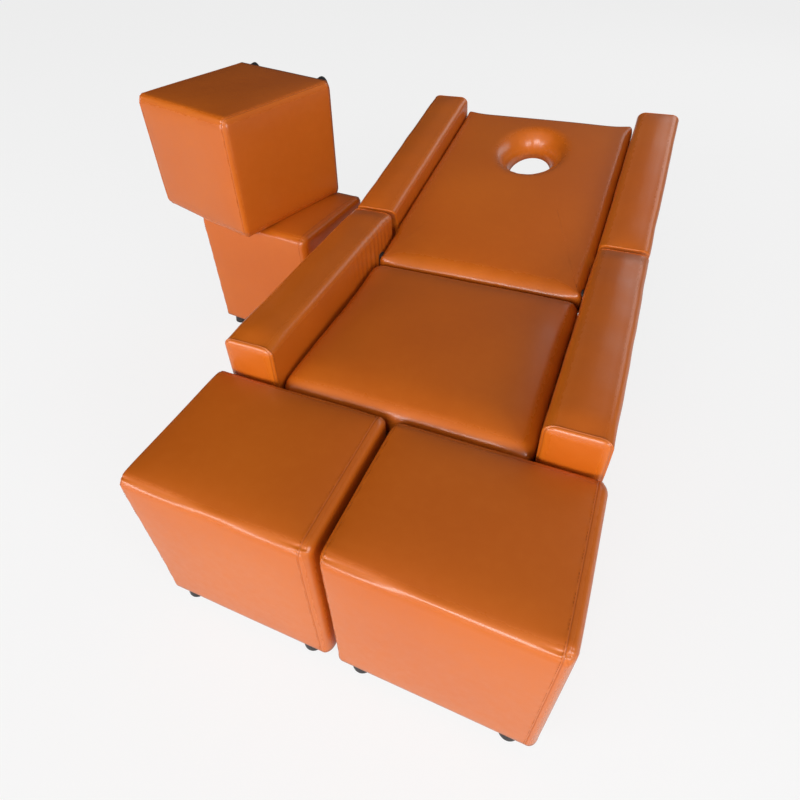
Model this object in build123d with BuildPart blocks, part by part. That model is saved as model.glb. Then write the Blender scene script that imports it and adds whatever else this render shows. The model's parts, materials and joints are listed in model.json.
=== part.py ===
"""Foot massage chair: a reclining chair with padded arms and wings, and four cube stools.

Two stools stand at the foot end as leg rests, one stands beside the chair and the fourth
lies on it. The back is hinged between the arms and is held by a lockable gas spring.
X points right seen from the foot end, Y from the feet to the head, Z up.
The origin is on the floor, at the middle of the rectangle that the whole set covers.
"""
import os
from math import atan2, cos, hypot, radians, sin

from build123d import *

os.makedirs("parts", exist_ok=True)

# Chair, overall
chair_width = 850
arm_width = 130
arm_length = 700
arm_height = 525
foot_height = 30
side_pad = 12
board = 12
edge_radius = 18

# Seat
seat_height = 453
seat_thickness = 101
seat_crown = 10
seat_edge_radius = 26
seat_side_gap = 2
seat_hinge_gap = 40
seat_draw_in = 5
rail_thickness = 18
front_rail_foot = 60
rear_rail_depth = 50
cleat_width = 30
cleat_depth = 40
apron_thickness = 12
apron_radius = 5

# Recline: the hinge line, the angle that the photograph shows and the travel to upright
hinge_ahead = 100
hinge_z = 425
recline_tilt = 9.3
upright_travel = 62

# Back, in its own frame: s runs from the hinge to the head, t away from the back's plane
back_nose = 31
back_reach = 854
pad_top = 21.3
pad_thickness = 70
pad_crown = 10
pad_edge_radius = 25
pad_draw_in = 4
deck_thickness = 10
frame_depth = 40
frame_rail = 40
nose_side_gap = 10
wing_side_gap = 2
cross_rail_width = 40
bay_ahead = 169
head_rail_inset = 54
underside_thickness = 2

# Wings
wing_drop = 23.8
wing_gap = 6

# Face hole, an oval through the pad and its board
hole_head = 245
hole_width = 155
hole_length = 225
hole_lip_radius = 22
lining_thickness = 3

# Hinge plates and pivots
plate_thickness = 4
eye_radius = 14
pivot_radius = 6
pivot_shoulder_radius = 10
running_gap = 0.08
side_play = 0.1
fixed_plate_foot = 300
fixed_plate_width = 76
back_plate_start = 30
back_plate_reach = 96
back_plate_inset = 6

# Screws
screw_radius = 2.5
screw_head_radius = 5
screw_head_height = 2.5
screw_length = 10
screw_inset = 9
bolt_radius = 4
bolt_head_radius = 7
bolt_head_height = 4
bolt_inset = 66
bolt_count = 3

# Gas spring: both ends stand equally far from the hinge, so that each turns half as far
spring_s = 287
spring_drop = 31.3
spring_rest_angle = 75
cylinder_radius = 11
cylinder_bore = 9.5
cylinder_start = 48
guide_length = 16
rod_radius = 5
piston_length = 14
piston_gap = 0.1
rod_overlap = 40
eye_block_radius = 12
eye_block_width = 24
block_flat = 10
head_length = 26
pin_radius = 5
pin_end = 4
ear_thickness = 4
ear_gap = 1
bracket_base = 4
bracket_length = 60
bracket_lug = 12

# Lower cross rail that carries the gas spring
lower_rail_width = 60
lower_rail_foot = 36
lower_rail_height = 44

# Release lever, on a cross shaft that is also the gas spring's foot pin
shaft_radius = 6
bush_wall = 3
bush_flange = 3
bush_gap = 0.3
lever_length = 230
lever_angle = 128
lever_bar_width = 20
lever_bar_thickness = 5
lever_offset = 13
grip_radius = 12.5
grip_length = 96
grip_end_radius = 8

# Stools, all four alike
stool_width = 436
stool_depth = 360
stool_height = 445
stool_side_pad = 10
stool_top_pad = 10
stool_foam = 40
stool_edge_radius = 14

# Feet, black plastic glides on screw stems
foot_radius = 22
foot_top_radius = 18
foot_rim = 3
stem_radius = 4
stem_length = 9
stem_gap = 0.2
stool_foot_inset = 23
stool_foot_side_inset = 56
arm_foot_inset = 65
arm_foot_count = 3

# Places of the stools, from the chair's middle line and the fronts of its arms
stool_gap = 8
left_ottoman_x = -226.5
right_ottoman_x = 219.5
lower_stool_x = -741
lower_stool_y = 778
lower_stool_turn = -6.2
upper_stool_x = -854
upper_stool_y = 769
upper_stool_turn = -17.0
stacking_gap = 0.3

# The rectangle that the set covers, which gives the origin
tilt = radians(recline_tilt)
hinge_y = arm_length - hinge_ahead
frame_top = pad_top - pad_thickness - deck_thickness
frame_floor = frame_top - frame_depth
stool_body = stool_height - foot_height
upper_turn = radians(abs(upper_stool_turn))
left_reach = ((stool_width / 2 - stool_edge_radius) * cos(upper_turn)
              + (stool_body / 2 - stool_edge_radius) * sin(upper_turn) + stool_edge_radius)
set_left = upper_stool_x - left_reach
set_right = right_ottoman_x + stool_width / 2
set_front = -stool_gap - stool_depth
set_rear = hinge_y + back_reach * cos(tilt) - frame_floor * sin(tilt)
chair_x = -(set_left + set_right) / 2
chair_y = -(set_front + set_rear) / 2

# Sizes that follow
inner_half = chair_width / 2 - arm_width
nose_half = inner_half - nose_side_gap
bay_half = inner_half - wing_side_gap
seat_rear = hinge_y - seat_hinge_gap
seat_floor = seat_height - seat_thickness
deck_floor = seat_floor - board
pad_floor = pad_top - pad_thickness
arm_box = arm_width - 2 * side_pad
corner_reach = hypot(hinge_ahead - edge_radius, arm_height - hinge_z - edge_radius)
wing_front = corner_reach + edge_radius + wing_gap
wing_top = arm_height - hinge_z - wing_drop
bolt_first = wing_front + bolt_inset
bolt_pitch = (back_reach - bolt_inset - bolt_first) / (bolt_count - 1)
hole_s = back_reach - hole_head
cross_rail_bay = hole_s - bay_ahead
box_front = wing_front + side_pad
box_rear = back_reach - side_pad
spring_t = frame_floor - spring_drop
spring_arm = hypot(spring_s, spring_t)
spring_top_turn = atan2(spring_t, spring_s) + tilt
spring_foot_turn = spring_top_turn - radians(spring_rest_angle)
spring_top_y = hinge_y + spring_arm * cos(spring_top_turn)
spring_top_z = hinge_z + spring_arm * sin(spring_top_turn)
foot_y = hinge_y + spring_arm * cos(spring_foot_turn)
foot_z = hinge_z + spring_arm * sin(spring_foot_turn)
spring_turn = atan2(spring_top_z - foot_z, spring_top_y - foot_y)
spring_length = 2 * spring_arm * sin(radians(spring_rest_angle) / 2)
spring_longest = 2 * spring_arm * sin(radians(spring_rest_angle + upright_travel) / 2)
ear_inner = eye_block_width / 2 + ear_gap
ear_outer = ear_inner + ear_thickness
sides = {"left": -1, "right": 1}

# Directions of the reclined back, in the whole set's frame
back_along = (0, cos(tilt), sin(tilt))
back_up = (0, -sin(tilt), cos(tilt))


def keep(made, name):
    """Label a finished piece and write it to its own file."""
    made.part.label = name
    export_step(made.part, f"parts/{name}.step")


def flat(height=0):
    """A level plane; sketch points are x from the chair's middle and y from its arm fronts."""
    return Plane(origin=(chair_x, chair_y, height))


def side(x):
    """An upright plane across the chair at x; sketch points are y and z."""
    return Plane(origin=(chair_x + x, chair_y, 0), x_dir=(0, 1, 0), z_dir=(1, 0, 0))


def back_flat(t):
    """A plane along the back at height t; sketch points are x and s."""
    origin = (chair_x, chair_y + hinge_y - t * sin(tilt), hinge_z + t * cos(tilt))
    return Plane(origin=origin, x_dir=(1, 0, 0), z_dir=back_up)


def back_side(x):
    """An upright plane across the back at x; sketch points are s and t."""
    origin = (chair_x + x, chair_y + hinge_y, hinge_z)
    return Plane(origin=origin, x_dir=back_along, z_dir=(1, 0, 0))


def back_under(t):
    """The underside of a plane along the back; sketch points are x and minus s."""
    return Plane(origin=back_flat(t).origin, x_dir=(1, 0, 0), z_dir=-back_flat(t).z_dir)


def spring_side(x, along):
    """An upright plane at x; sketch x runs up the gas spring, starting along from its foot."""
    origin = (chair_x + x, chair_y + foot_y + along * cos(spring_turn),
              foot_z + along * sin(spring_turn))
    return Plane(origin=origin, x_dir=(0, cos(spring_turn), sin(spring_turn)), z_dir=(1, 0, 0))


def spring_cross(along):
    """A plane square to the gas spring, along from its foot."""
    origin = spring_side(0, along).origin
    return Plane(origin=origin, x_dir=(1, 0, 0), z_dir=(0, cos(spring_turn), sin(spring_turn)))


def slab(plane, low, high, thick):
    """A board between two corners of a sketch plane, thick along the plane's normal."""
    with BuildPart() as made:
        with BuildSketch(plane):
            with Locations(((low[0] + high[0]) / 2, (low[1] + high[1]) / 2)):
                Rectangle(high[0] - low[0], high[1] - low[1])
        extrude(amount=thick)
    return made


def crowned_section(plane, span, thick, crown, radius):
    """A pad's section: flat below, domed above, with both upper corners rounded."""
    with BuildSketch(plane) as section:
        with BuildLine():
            Polyline((-span / 2, thick), (-span / 2, 0), (span / 2, 0), (span / 2, thick))
            ThreePointArc((span / 2, thick), (0, thick + crown), (-span / 2, thick))
        make_face()
        fillet(section.vertices().group_by(Axis.Y)[-1], radius)
    return section.sketch


def long_section(plane, front, rear, thick, radius):
    """A pad's section from front to rear: a flat top with both ends rounded."""
    with BuildSketch(plane) as section:
        with Locations(((front + rear) / 2, thick / 2)):
            Rectangle(rear - front, thick)
        fillet(section.vertices().group_by(Axis.Y)[-1], radius)
    return section.sketch


def lug_plate(made, plane, eye, foot, foot_width, foot_depth, bore, thick):
    """Add a plate whose rounded eye runs into a straight foot, with a bore in the eye."""
    with BuildSketch(plane) as outline:
        with Locations(eye):
            Circle(eye_radius)
        with Locations(foot):
            Rectangle(foot_width, foot_depth)
        make_hull()
        with Locations(eye):
            Circle(bore, mode=Mode.SUBTRACT)
    extrude(outline.sketch, amount=thick)


def drill(plane, points, radius, depth):
    """Sink round holes of one size at sketch points of a plane, against its normal."""
    with BuildSketch(plane) as holes:
        with Locations(*points):
            Circle(radius)
    extrude(holes.sketch, amount=-depth, mode=Mode.SUBTRACT)


def headed(plane, points, radius, head_radius, head_height, length):
    """Add headed screws whose heads stand on a plane and whose shanks run below it."""
    with BuildSketch(plane) as heads:
        with Locations(*points):
            Circle(head_radius)
    extrude(heads.sketch, amount=head_height)
    with BuildSketch(plane) as shanks:
        with Locations(*points):
            Circle(radius)
    extrude(shanks.sketch, amount=-length)


def feet(plane, points):
    """Plastic glides: a disc with a rounded rim that tapers upward, and a stem."""
    with BuildPart() as made:
        for x, y in points:
            spot = plane.origin + plane.x_dir * x + plane.y_dir * y
            with BuildSketch(Plane(origin=spot, x_dir=plane.x_dir, z_dir=-plane.y_dir)):
                with BuildLine():
                    Polyline((0, 0), (foot_radius - foot_rim, 0), (foot_radius, foot_rim),
                             (foot_radius, 2 * foot_rim), (foot_top_radius, foot_height),
                             (stem_radius, foot_height), (stem_radius, foot_height + stem_length),
                             (0, foot_height + stem_length), close=True)
                make_face()
            revolve(axis=Axis(spot, plane.z_dir))
    return made


# Arms: a plywood box with a base board on three feet, in a padded leather cover
arm_middle = chair_width / 2 - arm_width / 2
arm_box_top = arm_height - side_pad
arm_foot_pitch = (arm_length - 2 * arm_foot_inset) / (arm_foot_count - 1)
arm_feet = [(sign * arm_middle, arm_foot_inset + i * arm_foot_pitch)
            for sign in sides.values() for i in range(arm_foot_count)]
for hand, sign in sides.items():
    with BuildPart() as arm_cover:
        with BuildSketch(flat(foot_height)):
            with Locations((sign * arm_middle, arm_length / 2)):
                Rectangle(arm_width, arm_length)
        extrude(amount=arm_height - foot_height)
        edge_rows = arm_cover.edges().group_by(Axis.Z)
        fillet(edge_rows[1] + edge_rows[2], edge_radius)
        with BuildSketch(flat(foot_height)):
            with Locations((sign * arm_middle, arm_length / 2)):
                Rectangle(arm_box, arm_length - 2 * side_pad)
        extrude(amount=arm_box_top - foot_height, mode=Mode.SUBTRACT)
        if hand == "left":
            drill(side(0), [(foot_y, foot_z)], shaft_radius + bush_wall + bush_gap, chair_width)
    keep(arm_cover, f"{hand}_arm_cover")

    with BuildPart() as arm_frame:
        with BuildSketch(flat(foot_height)):
            with Locations((sign * arm_middle, arm_length / 2)):
                Rectangle(arm_box, arm_length - 2 * side_pad)
        extrude(amount=arm_box_top - foot_height)
        with BuildSketch(flat(foot_height)):
            with Locations((sign * arm_middle, arm_length / 2)):
                Rectangle(arm_box - 2 * board, arm_length - 2 * side_pad - 2 * board)
        extrude(amount=arm_box_top - foot_height - board, mode=Mode.SUBTRACT)
        if hand == "left":
            drill(side(0), [(foot_y, foot_z)], shaft_radius + bush_wall, chair_width)
    keep(arm_frame, f"{hand}_arm_box")

with BuildPart() as arm_base_boards:
    with BuildSketch(flat(foot_height)):
        with Locations((-arm_middle, arm_length / 2), (arm_middle, arm_length / 2)):
            Rectangle(arm_box - 2 * board, arm_length - 2 * side_pad - 2 * board)
        with Locations(*arm_feet):
            Circle(stem_radius + stem_gap, mode=Mode.SUBTRACT)
    extrude(amount=board)
keep(arm_base_boards, "arm_base_boards")
keep(feet(flat(), arm_feet), "chair_feet")

# Seat: rails and cleats between the arms, a plywood deck, the cushion and the front apron
rail_rear = apron_thickness + rail_thickness
rear_rail_front = seat_rear - 2 * rail_thickness
keep(slab(flat(front_rail_foot), (-inner_half, apron_thickness), (inner_half, rail_rear),
          deck_floor - front_rail_foot), "front_rail")
keep(slab(flat(deck_floor - rear_rail_depth), (-inner_half, rear_rail_front),
          (inner_half, rear_rail_front + rail_thickness), rear_rail_depth), "rear_rail")
with BuildPart() as seat_cleats:
    for sign in sides.values():
        with BuildSketch(flat(deck_floor - cleat_depth)):
            with Locations((sign * (inner_half - cleat_width / 2), (rail_rear + rear_rail_front) / 2)):
                Rectangle(cleat_width, rear_rail_front - rail_rear)
        extrude(amount=cleat_depth)
keep(seat_cleats, "seat_cleats")

seat_half = inner_half - seat_side_gap
keep(slab(flat(deck_floor), (-seat_half, apron_thickness), (seat_half, seat_rear - seat_side_gap),
          board), "seat_deck")
with BuildPart() as front_apron:
    with BuildSketch(flat(front_rail_foot)):
        with Locations((0, apron_thickness / 2)):
            Rectangle(2 * seat_half, apron_thickness)
    extrude(amount=seat_floor - front_rail_foot)
    fillet(front_apron.edges().filter_by(Axis.X).group_by(Axis.Y)[0], apron_radius)
keep(front_apron, "front_apron")

with BuildPart() as seat_cushion:
    across = Plane(origin=flat(seat_floor).origin, x_dir=(1, 0, 0), z_dir=(0, -1, 0))
    shoulder = seat_thickness - seat_crown
    extrude(crowned_section(across, 2 * seat_half, shoulder, seat_crown, seat_edge_radius),
            amount=-chair_width)
    lengthwise = Plane(origin=flat(seat_floor).origin, x_dir=(0, 1, 0), z_dir=(1, 0, 0))
    extrude(long_section(lengthwise, seat_side_gap, seat_rear, seat_thickness, seat_edge_radius),
            amount=chair_width, both=True, mode=Mode.INTERSECT)
    with BuildSketch(flat(seat_floor)):
        with BuildLine():
            waist = (seat_side_gap + seat_rear) / 2
            Line((-seat_half, seat_side_gap), (seat_half, seat_side_gap))
            ThreePointArc((seat_half, seat_side_gap), (seat_half - seat_draw_in, waist),
                          (seat_half, seat_rear))
            Line((seat_half, seat_rear), (-seat_half, seat_rear))
            ThreePointArc((-seat_half, seat_rear), (-seat_half + seat_draw_in, waist),
                          (-seat_half, seat_side_gap))
        make_face()
    extrude(amount=seat_height, mode=Mode.INTERSECT)
keep(seat_cushion, "seat_cushion")

# Lower cross rail between the arms, with the bracket for the foot of the gas spring
rail_top = lower_rail_foot + lower_rail_height
bracket_points = [(i * (ear_outer + bracket_lug / 2), j * (bracket_length / 2 - screw_inset))
                  for i in (-1, 1) for j in (-1, 1)]
foot_screws = [(x, foot_y + y) for x, y in bracket_points]
with BuildPart() as lower_cross_rail:
    with BuildSketch(flat(lower_rail_foot)):
        with Locations((0, foot_y)):
            Rectangle(2 * inner_half, lower_rail_width)
    extrude(amount=lower_rail_height)
    drill(flat(rail_top), foot_screws, screw_radius, screw_length)
keep(lower_cross_rail, "lower_cross_rail")

with BuildPart() as foot_bracket:
    with BuildSketch(flat(rail_top)):
        with Locations((0, foot_y)):
            Rectangle(2 * (ear_outer + bracket_lug), bracket_length)
    extrude(amount=bracket_base)
    for face in (-ear_outer, ear_inner):
        lug_plate(foot_bracket, side(face), (foot_y, foot_z), (foot_y, rail_top + bracket_base / 2),
                  bracket_length, bracket_base, shaft_radius + running_gap, ear_thickness)
    drill(flat(rail_top + bracket_base), foot_screws, screw_radius, bracket_base)
keep(foot_bracket, "spring_foot_bracket")

# Hinges in the narrow gap between back and arms: a fixed plate, a moving plate and a
# stud whose shoulder keeps the two plates apart
fixed_face = inner_half - plate_thickness
moving_face = nose_half + plate_thickness
plate_screws = [(hinge_y + i * (fixed_plate_width / 2 - screw_inset), fixed_plate_foot + screw_inset)
                for i in (-1, 0, 1)]
rail_middle = (frame_top + frame_floor) / 2
back_screws = [(back_plate_start + screw_inset, rail_middle + screw_inset),
               (back_plate_start + screw_inset, rail_middle - screw_inset),
               (back_plate_reach - screw_inset, rail_middle)]
with BuildPart() as fixed_plates:
    for sign in sides.values():
        lug_plate(fixed_plates, side(sign * fixed_face), (hinge_y, hinge_z),
                  (hinge_y, fixed_plate_foot + screw_inset), fixed_plate_width, 2 * screw_inset,
                  pivot_radius, sign * plate_thickness)
        drill(side(sign * inner_half), plate_screws, screw_radius, sign * plate_thickness)
keep(fixed_plates, "fixed_hinge_plates")

with BuildPart() as back_plates:
    for sign in sides.values():
        lug_plate(back_plates, back_side(sign * nose_half), (0, 0),
                  ((back_plate_start + back_plate_reach) / 2, rail_middle),
                  back_plate_reach - back_plate_start, frame_depth - back_plate_inset,
                  pivot_radius + running_gap, sign * plate_thickness)
        drill(back_side(sign * moving_face), back_screws, screw_radius, sign * plate_thickness)
        drill(back_side(sign * moving_face), back_screws, screw_head_radius,
              sign * screw_head_height)
keep(back_plates, "back_hinge_plates")

with BuildPart() as hinge_studs:
    for sign in sides.values():
        with BuildSketch(side(sign * inner_half)):
            with Locations((hinge_y, hinge_z)):
                Circle(pivot_radius)
        extrude(amount=-sign * (inner_half - nose_half - side_play))
        with BuildSketch(side(sign * fixed_face)):
            with Locations((hinge_y, hinge_z)):
                Circle(pivot_shoulder_radius)
        extrude(amount=-sign * (fixed_face - moving_face - side_play))
keep(hinge_studs, "hinge_studs")

# Back: rails, deck, pad and the sleeve of the face hole
bolt_points = [(bolt_first + i * bolt_pitch, rail_middle) for i in range(bolt_count)]
for hand, sign in sides.items():
    rail_inner = nose_half - frame_rail
    with BuildPart() as rail:
        with BuildSketch(back_flat(frame_floor)):
            with BuildLine():
                Polyline((sign * rail_inner, -back_nose), (sign * nose_half, -back_nose),
                         (sign * nose_half, wing_front), (sign * inner_half, wing_front),
                         (sign * inner_half, back_reach), (sign * rail_inner, back_reach), close=True)
            make_face()
        extrude(amount=frame_depth)
        drill(back_side(sign * nose_half), back_screws, screw_radius, sign * screw_length)
        drill(back_side(sign * inner_half), bolt_points, bolt_radius, sign * (inner_half - rail_inner))
    keep(rail, f"back_{hand}_rail")

cross_starts = [-back_nose, spring_s - cross_rail_width / 2, cross_rail_bay,
                back_reach - head_rail_inset]
top_screws = [(x, y - spring_s) for x, y in bracket_points]
with BuildPart() as cross_rails:
    for start in cross_starts:
        with BuildSketch(back_flat(frame_floor)):
            with Locations((0, start + cross_rail_width / 2)):
                Rectangle(2 * rail_inner, cross_rail_width)
        extrude(amount=frame_depth)
    drill(back_under(frame_floor), top_screws, screw_radius, screw_length)
keep(cross_rails, "back_cross_rails")

with BuildPart() as back_deck:
    with BuildSketch(back_flat(frame_top)):
        with BuildLine():
            Polyline((-bay_half, wing_front), (-nose_half, wing_front), (-nose_half, -back_nose),
                     (nose_half, -back_nose), (nose_half, wing_front), (bay_half, wing_front),
                     (bay_half, back_reach), (-bay_half, back_reach), close=True)
        make_face()
        with Locations((0, hole_s)):
            Ellipse(hole_width / 2 + lining_thickness, hole_length / 2 + lining_thickness,
                    mode=Mode.SUBTRACT)
    extrude(amount=deck_thickness)
keep(back_deck, "back_deck")

with BuildPart() as underside:
    with BuildSketch(back_flat(frame_floor)):
        with Locations((0, (cross_rail_bay + cross_rail_width - back_nose) / 2)):
            Rectangle(2 * nose_half - frame_rail, cross_rail_bay + cross_rail_width + back_nose)
        with Locations((0, spring_s)):
            Rectangle(2 * (ear_outer + bracket_lug + ear_gap), bracket_length + 2 * ear_gap,
                      mode=Mode.SUBTRACT)
    extrude(amount=-underside_thickness)
keep(underside, "underside_cover")

with BuildPart() as back_pad:
    across = Plane(origin=back_flat(pad_floor).origin, x_dir=(1, 0, 0),
                   z_dir=(0, -cos(tilt), -sin(tilt)))
    extrude(crowned_section(across, 2 * bay_half, pad_thickness, pad_crown, pad_edge_radius),
            amount=2 * back_reach, both=True)
    lengthwise = Plane(origin=back_flat(pad_floor).origin, x_dir=back_along, z_dir=(1, 0, 0))
    extrude(long_section(lengthwise, -back_nose, back_reach, pad_thickness + pad_crown,
                         pad_edge_radius), amount=chair_width, both=True, mode=Mode.INTERSECT)
    with BuildSketch(back_flat(pad_floor)):
        with BuildLine():
            waist = (wing_front + back_reach) / 2
            Polyline((-bay_half, wing_front), (-nose_half, wing_front), (-nose_half, -back_nose),
                     (nose_half, -back_nose), (nose_half, wing_front), (bay_half, wing_front))
            ThreePointArc((bay_half, wing_front), (bay_half - pad_draw_in, waist),
                          (bay_half, back_reach))
            Line((bay_half, back_reach), (-bay_half, back_reach))
            ThreePointArc((-bay_half, back_reach), (-bay_half + pad_draw_in, waist),
                          (-bay_half, wing_front))
        make_face()
        with Locations((0, hole_s)):
            Ellipse(hole_width / 2 + lining_thickness, hole_length / 2 + lining_thickness,
                    mode=Mode.SUBTRACT)
    extrude(amount=2 * pad_thickness, mode=Mode.INTERSECT)
    rim_spot = back_flat(pad_top + pad_crown).origin + Vector(back_along) * hole_s
    fillet(back_pad.edges().sort_by_distance(rim_spot)[0], hole_lip_radius)
keep(back_pad, "back_pad")

with BuildPart() as hole_lining:
    with BuildSketch(back_flat(frame_top)):
        with Locations((0, hole_s)):
            Ellipse(hole_width / 2 + lining_thickness, hole_length / 2 + lining_thickness)
            Ellipse(hole_width / 2, hole_length / 2, mode=Mode.SUBTRACT)
    extrude(amount=deck_thickness + pad_thickness - hole_lip_radius)
keep(hole_lining, "face_hole_lining")

# Wings: plywood boxes bolted to the back's rails, in padded covers. The front of each is
# hollowed about the hinge line, so that it rolls round the rear corner of the arm
for hand, sign in sides.items():
    with BuildPart() as wing_cover:
        with BuildSketch(back_side(sign * inner_half)):
            with Locations((back_reach / 2, (wing_top + frame_floor) / 2)):
                Rectangle(back_reach, wing_top - frame_floor)
        extrude(amount=sign * arm_width)
        upper_face = wing_cover.faces().sort_by(Axis((0, 0, 0), back_up))[-1]
        head_face = wing_cover.faces().sort_by(Axis((0, 0, 0), back_along))[-1]
        uprights = head_face.edges().filter_by(Axis((0, 0, 0), back_up))
        fillet(upper_face.edges() + uprights, edge_radius)
        with BuildSketch(back_side(sign * inner_half)):
            Circle(wing_front)
            with Locations((wing_front - arm_length / 2, -arm_length / 2)):
                Rectangle(arm_length, arm_length)
        extrude(amount=sign * arm_width, mode=Mode.SUBTRACT)
        with BuildSketch(back_side(sign * (inner_half + side_pad))):
            with Locations(((box_front + box_rear) / 2, (wing_top - side_pad + frame_floor) / 2)):
                Rectangle(box_rear - box_front, wing_top - side_pad - frame_floor)
        extrude(amount=sign * arm_box, mode=Mode.SUBTRACT)
        drill(back_side(sign * (inner_half + side_pad)), bolt_points, bolt_radius, sign * side_pad)
    keep(wing_cover, f"{hand}_wing_cover")

    with BuildPart() as wing_frame:
        with BuildSketch(back_side(sign * (inner_half + side_pad))):
            with Locations(((box_front + box_rear) / 2, (wing_top - side_pad + frame_floor) / 2)):
                Rectangle(box_rear - box_front, wing_top - side_pad - frame_floor)
        extrude(amount=sign * arm_box)
        with BuildSketch(back_side(sign * (inner_half + side_pad + board))):
            with Locations(((box_front + box_rear) / 2, (wing_top - side_pad + frame_floor) / 2 - board)):
                Rectangle(box_rear - box_front - 2 * board, wing_top - side_pad - frame_floor)
        extrude(amount=sign * (arm_box - 2 * board), mode=Mode.SUBTRACT)
        drill(back_side(sign * (inner_half + side_pad + board)), bolt_points, bolt_radius, sign * board)
    keep(wing_frame, f"{hand}_wing_box")

with BuildPart() as wing_base_boards:
    for sign in sides.values():
        with BuildSketch(back_flat(frame_floor)):
            with Locations((sign * arm_middle, (box_front + box_rear) / 2)):
                Rectangle(arm_box - 2 * board, box_rear - box_front - 2 * board)
        extrude(amount=board)
keep(wing_base_boards, "wing_base_boards")

with BuildPart() as wing_bolts:
    for sign in sides.values():
        wall = back_side(sign * (inner_half + side_pad + board)).origin
        headed(Plane(wall, x_dir=back_along, z_dir=(sign, 0, 0)),
               [(s, sign * t) for s, t in bolt_points], bolt_radius, bolt_head_radius,
               bolt_head_height, inner_half + side_pad + board - rail_inner)
keep(wing_bolts, "wing_bolts")

# Gas spring: a tube hinged under the back, and a piston rod hinged on the lower cross rail
tube_end = spring_length - eye_block_radius
with BuildPart() as gas_cylinder:
    with BuildSketch(spring_cross(cylinder_start)):
        Circle(cylinder_radius)
    extrude(amount=tube_end - cylinder_start)
    with BuildSketch(spring_cross(cylinder_start + guide_length)):
        Circle(cylinder_bore)
    extrude(amount=tube_end - cylinder_start - guide_length - block_flat, mode=Mode.SUBTRACT)
    with BuildSketch(spring_cross(cylinder_start)):
        Circle(rod_radius + running_gap)
    extrude(amount=guide_length, mode=Mode.SUBTRACT)
    with BuildSketch(spring_side(-eye_block_width / 2, spring_length)):
        Circle(eye_block_radius)
        with Locations((-eye_block_radius / 2, 0)):
            Rectangle(eye_block_radius, 2 * block_flat)
    extrude(amount=eye_block_width)
    drill(spring_side(eye_block_width / 2, spring_length), [(0, 0)], pin_radius + running_gap,
          eye_block_width)
keep(gas_cylinder, "gas_cylinder")

rod_tip = cylinder_start + spring_longest - spring_length + rod_overlap
with BuildPart() as gas_rod:
    with BuildSketch(spring_cross(head_length)):
        Circle(rod_radius)
    extrude(amount=rod_tip - head_length)
    with BuildSketch(spring_cross(rod_tip - piston_length)):
        Circle(cylinder_bore - piston_gap)
    extrude(amount=piston_length)
keep(gas_rod, "gas_rod")

with BuildPart() as release_head:
    with BuildSketch(spring_side(-eye_block_width / 2, 0)):
        Circle(eye_block_radius)
        with Locations((head_length / 2, 0)):
            Rectangle(head_length, 2 * block_flat)
    extrude(amount=eye_block_width)
    drill(spring_side(eye_block_width / 2, 0), [(0, 0)], shaft_radius + running_gap, eye_block_width)
keep(release_head, "release_head")

with BuildPart() as top_bracket:
    with BuildSketch(back_flat(frame_floor)):
        with Locations((0, spring_s)):
            Rectangle(2 * (ear_outer + bracket_lug), bracket_length)
    extrude(amount=-bracket_base)
    for face in (-ear_outer, ear_inner):
        lug_plate(top_bracket, back_side(face), (spring_s, spring_t),
                  (spring_s, frame_floor - bracket_base / 2), bracket_length, bracket_base,
                  pin_radius, ear_thickness)
    drill(back_under(frame_floor - bracket_base), top_screws, screw_radius, bracket_base)
keep(top_bracket, "spring_top_bracket")

with BuildPart() as top_pin:
    with BuildSketch(spring_side(-ear_outer - pin_end, spring_length)):
        Circle(pin_radius)
    extrude(amount=2 * (ear_outer + pin_end))
keep(top_pin, "spring_top_pin")

# Release lever: a cross shaft through the left arm, which presses the valve in the head of
# the gas spring, and outside the arm a flat bar with a rubber grip
lever_x = -chair_width / 2 - lever_offset - lever_bar_thickness
lever_turn = radians(lever_angle)
grip_y = foot_y + lever_length * cos(lever_turn)
grip_z = foot_z + lever_length * sin(lever_turn)
with BuildPart() as release_lever:
    with BuildSketch(side(lever_x)):
        with Locations((foot_y, foot_z), (grip_y, grip_z)):
            Circle(lever_bar_width / 2)
        make_hull()
    extrude(amount=lever_bar_thickness)
    with BuildSketch(side(lever_x)):
        with Locations((foot_y, foot_z)):
            Circle(shaft_radius)
    extrude(amount=ear_outer + pin_end - lever_x)
keep(release_lever, "release_lever")

with BuildPart() as lever_grip:
    middle = (chair_x + lever_x + lever_bar_thickness / 2, chair_y + grip_y, grip_z)
    grip_plane = Plane(origin=middle, x_dir=(1, 0, 0), z_dir=(0, cos(lever_turn), sin(lever_turn)))
    with BuildSketch(grip_plane.offset(-grip_length / 2)):
        Circle(grip_radius)
    extrude(amount=grip_length)
    with BuildSketch(grip_plane.offset(-grip_length / 2)):
        Rectangle(lever_bar_thickness, lever_bar_width)
    extrude(amount=grip_length / 2 + lever_bar_width / 2, mode=Mode.SUBTRACT)
    fillet(lever_grip.edges().filter_by(GeomType.CIRCLE), grip_end_radius)
keep(lever_grip, "lever_grip")

with BuildPart() as shaft_bushes:
    for face, sign in ((-chair_width / 2, -1), (-inner_half, 1)):
        with BuildSketch(side(face)):
            with Locations((foot_y, foot_z)):
                Circle(shaft_radius + bush_wall)
        extrude(amount=-sign * (side_pad + board))
        with BuildSketch(side(face)):
            with Locations((foot_y, foot_z)):
                Circle(shaft_radius + bush_wall + bush_flange)
        extrude(amount=sign * bush_flange)
    drill(side(0), [(foot_y, foot_z)], shaft_radius + running_gap, chair_width)
keep(shaft_bushes, "shaft_bushes")

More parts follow.
